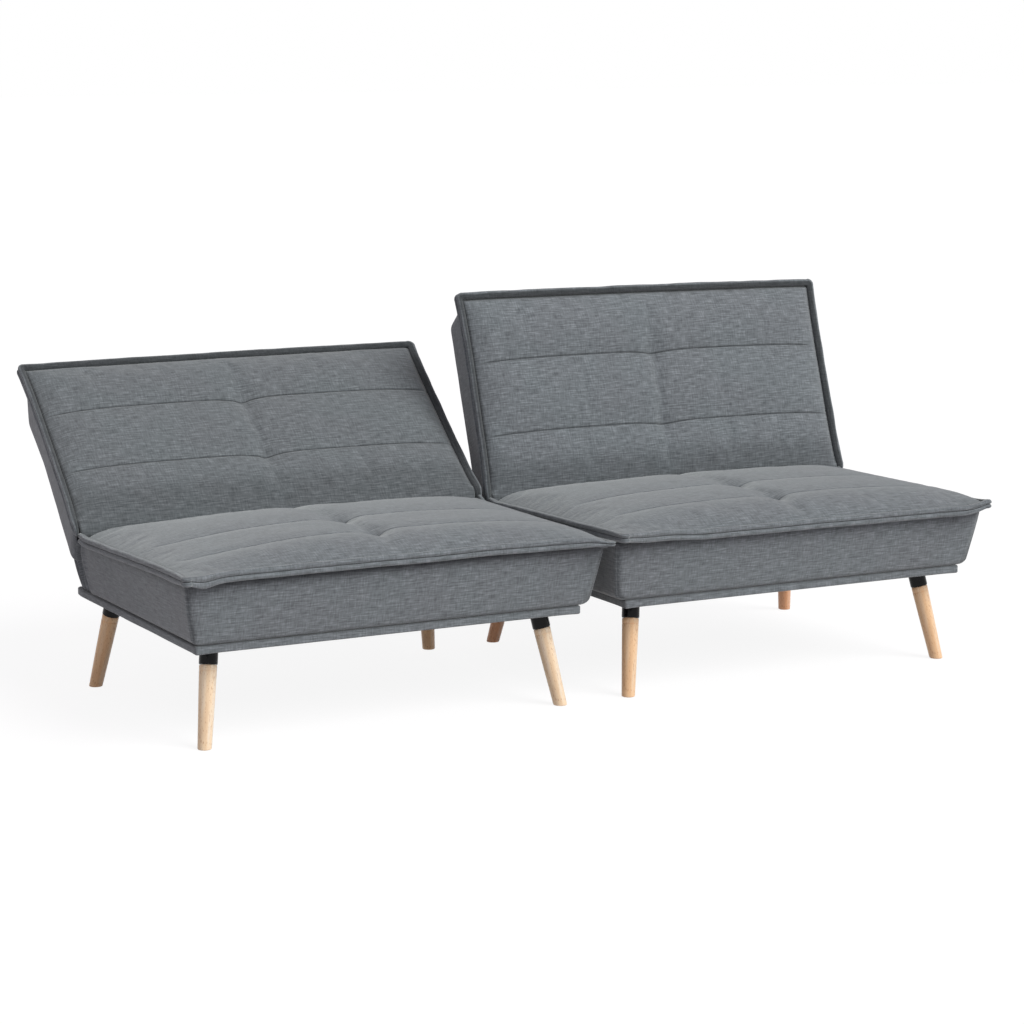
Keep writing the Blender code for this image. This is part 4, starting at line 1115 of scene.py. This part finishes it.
def make_gusset(module, finishes):
    """Gathered cloth round the hinge's rear and sides, from the base board up to the back's lower edge."""
    front = module.case[1].y - GUSSET_FRONT_INSIDE_BOX
    side = module.board[1].y - GUSSET_REAR_INSIDE_BOARD - front
    across = 2 * GUSSET_HALF_WIDTH
    length = 2 * side + across
    rear_half = module.case_rear_half(0.0) - GUSSET_CLEAR_OF_CASE

    def place(run, level):
        """A point at a run along the gusset's lower edge and a level from 0 at the board to 1 at the back."""
        if run < side:
            way, rearward = -1.0, run / side
        elif run > side + across:
            way, rearward = 1.0, (length - run) / side
        else:
            way, rearward = 2 * (run - side) / across - 1, 1.0
        low = Vector((module.x + way * GUSSET_HALF_WIDTH, front + side * rearward, CASE_BOTTOM))
        widened = GUSSET_HALF_WIDTH + (rear_half - GUSSET_HALF_WIDTH) * rearward ** 2
        high = module.to_room @ Vector((way * widened, GUSSET_BACK_DEPTH * rearward, GUSSET_INTO_CASE))
        # The folds are uneven, and deepest halfway up
        uneven = 2.2 * ripple((run, 0, 0), 0.06, module.seed + 50)
        wave = math.sin(run * 2 * math.pi / GUSSET_FOLD_LENGTH + uneven)
        fold = GUSSET_FOLD[rearward == 1.0] * wave * (0.4 + 0.6 * math.sin(math.pi * level))
        # Cloth that the reclined back doesn't need bellies out: an arc longer than its span by a small
        # share is as deep as the span times the square root of 3/8 of that share
        span = (high - low).length
        spare = max(GUSSET_HEIGHT / span - 1, 0.0)
        behind = min(max(min(run - side, side + across - run) / GUSSET_BELLY_RAMP, 0.0), 1.0)
        fold += min(span * math.sqrt(0.375 * spare), GUSSET_BELLY) * 4 * level * (1 - level) * behind
        corner = max(0.0, 1 - min(abs(run - side), abs(run - side - across)) / GUSSET_CORNER)
        outward = Vector((way, 0, 0)) if rearward < 1.0 else Vector((way * corner, 1, 0)).normalized()
        return low.lerp(high, level) + outward * fold

    bm = bmesh.new()
    layer = bm.loops.layers.uv.new(WEAVE)
    bmesh.ops.create_grid(bm, x_segments=GUSSET_STEPS[0], y_segments=GUSSET_STEPS[1], size=1.0)
    for face in bm.faces:
        for loop in face.loops:
            run, level = (loop.vert.co.x + 1) / 2 * length, (loop.vert.co.y + 1) / 2
            loop[layer].uv = (run * GUSSET_FULLNESS, level * GUSSET_HEIGHT)
    for vert in bm.verts:
        vert.co = place((vert.co.x + 1) / 2 * length, (vert.co.y + 1) / 2)
    bmesh.ops.solidify(bm, geom=bm.faces[:], thickness=GUSSET_THICKNESS)
    gusset = finish_piece(f"{module.side}_hinge_gusset", bm)
    gusset.data.materials.append(finishes["linen"])
    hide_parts(f"{module.side}_hinge_skirt")
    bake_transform(gusset)


# Legs

def make_leg(module, place, across, end, finishes):
    """Turned tapered leg and the enamelled ferrule above it, both about the leg's leaning axis."""
    low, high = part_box(f"{module.side}_leg_{place}")
    board_bottom = module.board[0].z
    lean = Vector((-across * LEG_SLOPE[0], -end * LEG_SLOPE[1], 1.0))
    # The foot is the leg's outermost point on the floor
    foot = Vector(((low.x + LEG_FOOT_RADIUS) if across < 0 else (high.x - LEG_FOOT_RADIUS),
                   (low.y + LEG_FOOT_RADIUS) if end < 0 else (high.y - LEG_FOOT_RADIUS), 0.0))
    axis = lean.normalized()
    stretch = lean.length
    turn = Vector((0, 0, 1)).rotation_difference(axis).to_matrix().to_4x4()
    stand = Matrix.Translation(foot) @ turn
    leg_top = LEG_HEIGHT * stretch
    ferrule_top = board_bottom * stretch
    groove_depth, groove, groove_half = LEG_GROOVE
    shoulder = LEG_TOP_RADIUS - 0.0001
    leg = turned([(LEG_FOOT_RADIUS - 0.0006, -0.012), (LEG_FOOT_RADIUS, 0.0),
                  (LEG_FOOT_RADIUS * 0.5 + LEG_TOP_RADIUS * 0.5 + LEG_SWELL, leg_top * 0.5),
                  (shoulder, leg_top - groove - groove_half), (shoulder - groove_depth, leg_top - groove),
                  (shoulder, leg_top - groove + groove_half),
                  (LEG_TOP_RADIUS, leg_top - 0.0015), (LEG_TOP_RADIUS - 0.0008, leg_top),
                  (TENON_RADIUS, leg_top + 0.0002), (TENON_RADIUS, leg_top + TENON_LENGTH)])
    cut_flat(leg, stand, 0.0, below=True, edge=FOOT_EDGE)
    piece = finish_piece(f"{module.side}_turned_leg_{place}", leg, 50)
    store_grain(piece, stand)
    stock = finishes[f"{module.side}_{'front' if end < 0 else 'rear'}_leg"]
    dress(piece, stock, "beech", module.seat, f"{module.side}_leg_{place}")
    ferrule = turned([(TENON_RADIUS + 0.0004, leg_top + 0.0006),
                      (FERRULE_RADIUS - FERRULE_LIP, leg_top + 0.0006),
                      (FERRULE_RADIUS - 0.0002, leg_top + 0.0016), (FERRULE_RADIUS, leg_top + 0.0045),
                      (FERRULE_RADIUS - 0.0002, ferrule_top + 0.012)])
    cut_flat(ferrule, stand, board_bottom - 0.0002, below=False)
    piece = finish_piece(f"{module.side}_leg_ferrule_{place}", ferrule, 40)
    dress(piece, finishes["enamel"], "black_enamel", module.seat, f"{module.side}_ferrule_{place}")


def turned(profile):
    """A round body about Z from (radius, height) points, closed at both ends."""
    bm = bmesh.new()
    verts = [bm.verts.new((radius, 0.0, height)) for radius, height in profile]
    edges = [bm.edges.new(pair) for pair in zip(verts, verts[1:])]
    bmesh.ops.spin(bm, geom=verts + edges, cent=(0, 0, 0), axis=(0, 0, 1), angle=2 * math.pi,
                   steps=ROUND_STEPS, use_merge=True)
    bmesh.ops.remove_doubles(bm, verts=bm.verts, dist=1e-6)
    bmesh.ops.holes_fill(bm, edges=[edge for edge in bm.edges if edge.is_boundary], sides=0)
    bmesh.ops.recalc_face_normals(bm, faces=bm.faces)
    return bm


def cut_flat(bm, stand, level, below, edge=0.0):
    """Stands the body on its leaning axis and cuts it level with the floor or with the board's underside."""
    bmesh.ops.transform(bm, matrix=stand, verts=bm.verts)
    geom = bm.verts[:] + bm.edges[:] + bm.faces[:]
    normal = (0, 0, -1) if below else (0, 0, 1)
    cut = bmesh.ops.bisect_plane(bm, geom=geom, plane_co=(0, 0, level), plane_no=normal, clear_outer=True)
    ring = [item for item in cut["geom_cut"] if isinstance(item, bmesh.types.BMEdge)]
    bmesh.ops.holes_fill(bm, edges=ring, sides=0)
    if edge:
        rim = [item for item in bm.edges if all(abs(v.co.z - level) < 1e-6 for v in item.verts)]
        bmesh.ops.bevel(bm, geom=rim, offset=edge, segments=3, affect="EDGES", profile=0.5, material=-1)


def store_grain(piece, stand):
    """Keeps each point's place along and across its leg, for the wood's grain."""
    back = stand.inverted()
    values = [value for vert in piece.data.vertices for value in back @ vert.co]
    attribute = piece.data.attributes.new("grain", "FLOAT_VECTOR", "POINT")
    attribute.data.foreach_set("vector", values)


# Putting it together

def dress(piece, finish, slot, body, *nodes):
    """Gives a piece its finish and the body that it moves with, and hides the solids that it stands for."""
    piece.data.materials.clear()
    piece.data.materials.append(finish)
    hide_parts(*nodes)
    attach(piece, body)


def finish_hidden_frame(finishes):
    """Materials of the solids that stay: rails, springs, boards and hinges."""
    kinds = (("seat_rail", "pine"), ("back_board", "pine"), ("seat_spring", "spring_steel"),
             ("bracket", "zinc"), ("pawl", "zinc"), ("pivot_rod", "zinc"))
    for name, node in frame["nodes"].items():
        for word, finish in kinds:
            if word in name:
                node.data.materials.clear()
                node.data.materials.append(finishes[finish])


def seen_rays(tree):
    """1 on rays that show the surroundings: straight from the camera, mirrored in gloss or through glass."""
    path = add(tree, "ShaderNodeLightPath").outputs
    seen = path["Is Camera Ray"]
    for kind in ("Is Glossy Ray", "Is Transmission Ray"):
        seen = add(tree, "ShaderNodeMath", {0: seen, 1: path[kind]}, operation="MAXIMUM").outputs["Value"]
    return seen


def make_stage():
    """Pale floor, surroundings that look white, and soft light from above and in front."""
    bm = bmesh.new()
    bmesh.ops.create_grid(bm, x_segments=1, y_segments=1, size=FLOOR_SIZE)
    bmesh.ops.translate(bm, verts=bm.verts, vec=(0, 0, -0.0004))
    floor = finish_piece("studio_floor", bm)
    made, tree, shader = new_material("white_paper_floor")
    shader.inputs["Base Color"].default_value = colour("#d0cccd")
    shader.inputs["Roughness"].default_value = 0.9
    shader.inputs["Specular IOR Level"].default_value = 0.1
    # The paper looks white and still takes a soft shadow
    share = add(tree, "ShaderNodeMath", {0: seen_rays(tree), 1: FLOOR_GLOW_SHARE}, operation="MULTIPLY")
    glow = add(tree, "ShaderNodeEmission", {"Color": (1, 1, 1, 1), "Strength": FLOOR_GLOW})
    lit = add(tree, "ShaderNodeMixShader", {0: share.outputs[0], 1: shader.outputs[0], 2: glow.outputs[0]})
    tree.links.new(lit.outputs[0], tree.nodes["Material Output"].inputs["Surface"])
    floor.data.materials.append(made)
    world = bpy.data.worlds.new("studio")
    bpy.context.scene.world = world
    world.use_nodes = True
    tree = world.node_tree
    light = tree.nodes["Background"]
    light.inputs["Color"].default_value = SKY_COLOUR
    light.inputs["Strength"].default_value = SKY_POWER
    white = add(tree, "ShaderNodeBackground", {"Color": (1, 1, 1, 1), "Strength": 1.0})
    mixed = add(tree, "ShaderNodeMixShader", {0: seen_rays(tree), 1: light.outputs[0], 2: white.outputs[0]})
    tree.links.new(mixed.outputs[0], tree.nodes["World Output"].inputs["Surface"])
    lamp = bpy.data.lights.new("overhead_softbox", "SUN")
    lamp.energy = LAMP_POWER
    lamp.angle = math.radians(LAMP_SPREAD)
    lamp.color = LAMP_COLOUR
    key = bpy.data.objects.new("overhead_softbox", lamp)
    bpy.context.scene.collection.objects.link(key)
    key.rotation_mode = "QUATERNION"
    key.rotation_quaternion = Vector(LAMP_SIDE).to_track_quat("Z", "Y")


def make_camera():
    scene = bpy.context.scene
    data = bpy.data.cameras.new("photo_view")
    data.lens = FOCAL_LENGTH
    data.sensor_width = SENSOR_WIDTH
    data.clip_end = 200.0
    camera = bpy.data.objects.new("photo_view", data)
    scene.collection.objects.link(camera)
    camera.location = CAMERA_PLACE
    camera.rotation_euler = (math.radians(90 - CAMERA_PITCH), 0.0, math.radians(-CAMERA_YAW))
    scene.camera = camera


def main():
    bpy.context.scene.view_settings.view_transform = "Standard"
    make_camera()
    make_stage()
    finishes = {
        "linen": linen_weave("linen_weave_upholstery", "#ffffff"),
        # The left module's back has a darker copy of the cloth: painted shade
        "shaded_linen": linen_weave("linen_weave_upholstery_painted_shade", "#efefee"),
        # The right module's legs and the rear legs are tinted warmer and darker; on the rear legs it is
        # painted shade
        "left_front_leg": beech("beech_satin_lacquer", "#ffffff"),
        "right_front_leg": beech("warm_beech_satin_lacquer", "#faeada"),
        "left_rear_leg": beech("rosy_beech_satin_lacquer_painted_shade", "#ffeeda"),
        "right_rear_leg": beech("red_beech_satin_lacquer_painted_shade", "#f8d2bc"),
        "enamel": black_enamel(),
        "pine": sawn_pine(),
        "zinc": plated_steel("zinc_plated_steel", "#b4b5b4", "#cfd0d0", 0.38),
        "spring_steel": plated_steel("oiled_spring_steel", "#6b6a68", "#83827f", 0.42),
    }
    finish_hidden_frame(finishes)
    for side in ("left", "right"):
        module = Module(side)
        make_base_board(module, finishes)
        make_seat_case(module, finishes)
        make_seat_pad(module, finishes)
        make_seat_welt(module, finishes)
        make_back_case(module, finishes)
        make_back_pad(module, finishes)
        make_back_welt(module, finishes)
        make_gusset(module, finishes)
        for end, depth_name in ((-1, "front"), (1, "rear")):
            for across, side_name in ((-1, "left"), (1, "right")):
                make_leg(module, f"{depth_name}_{side_name}", across, end, finishes)


main()
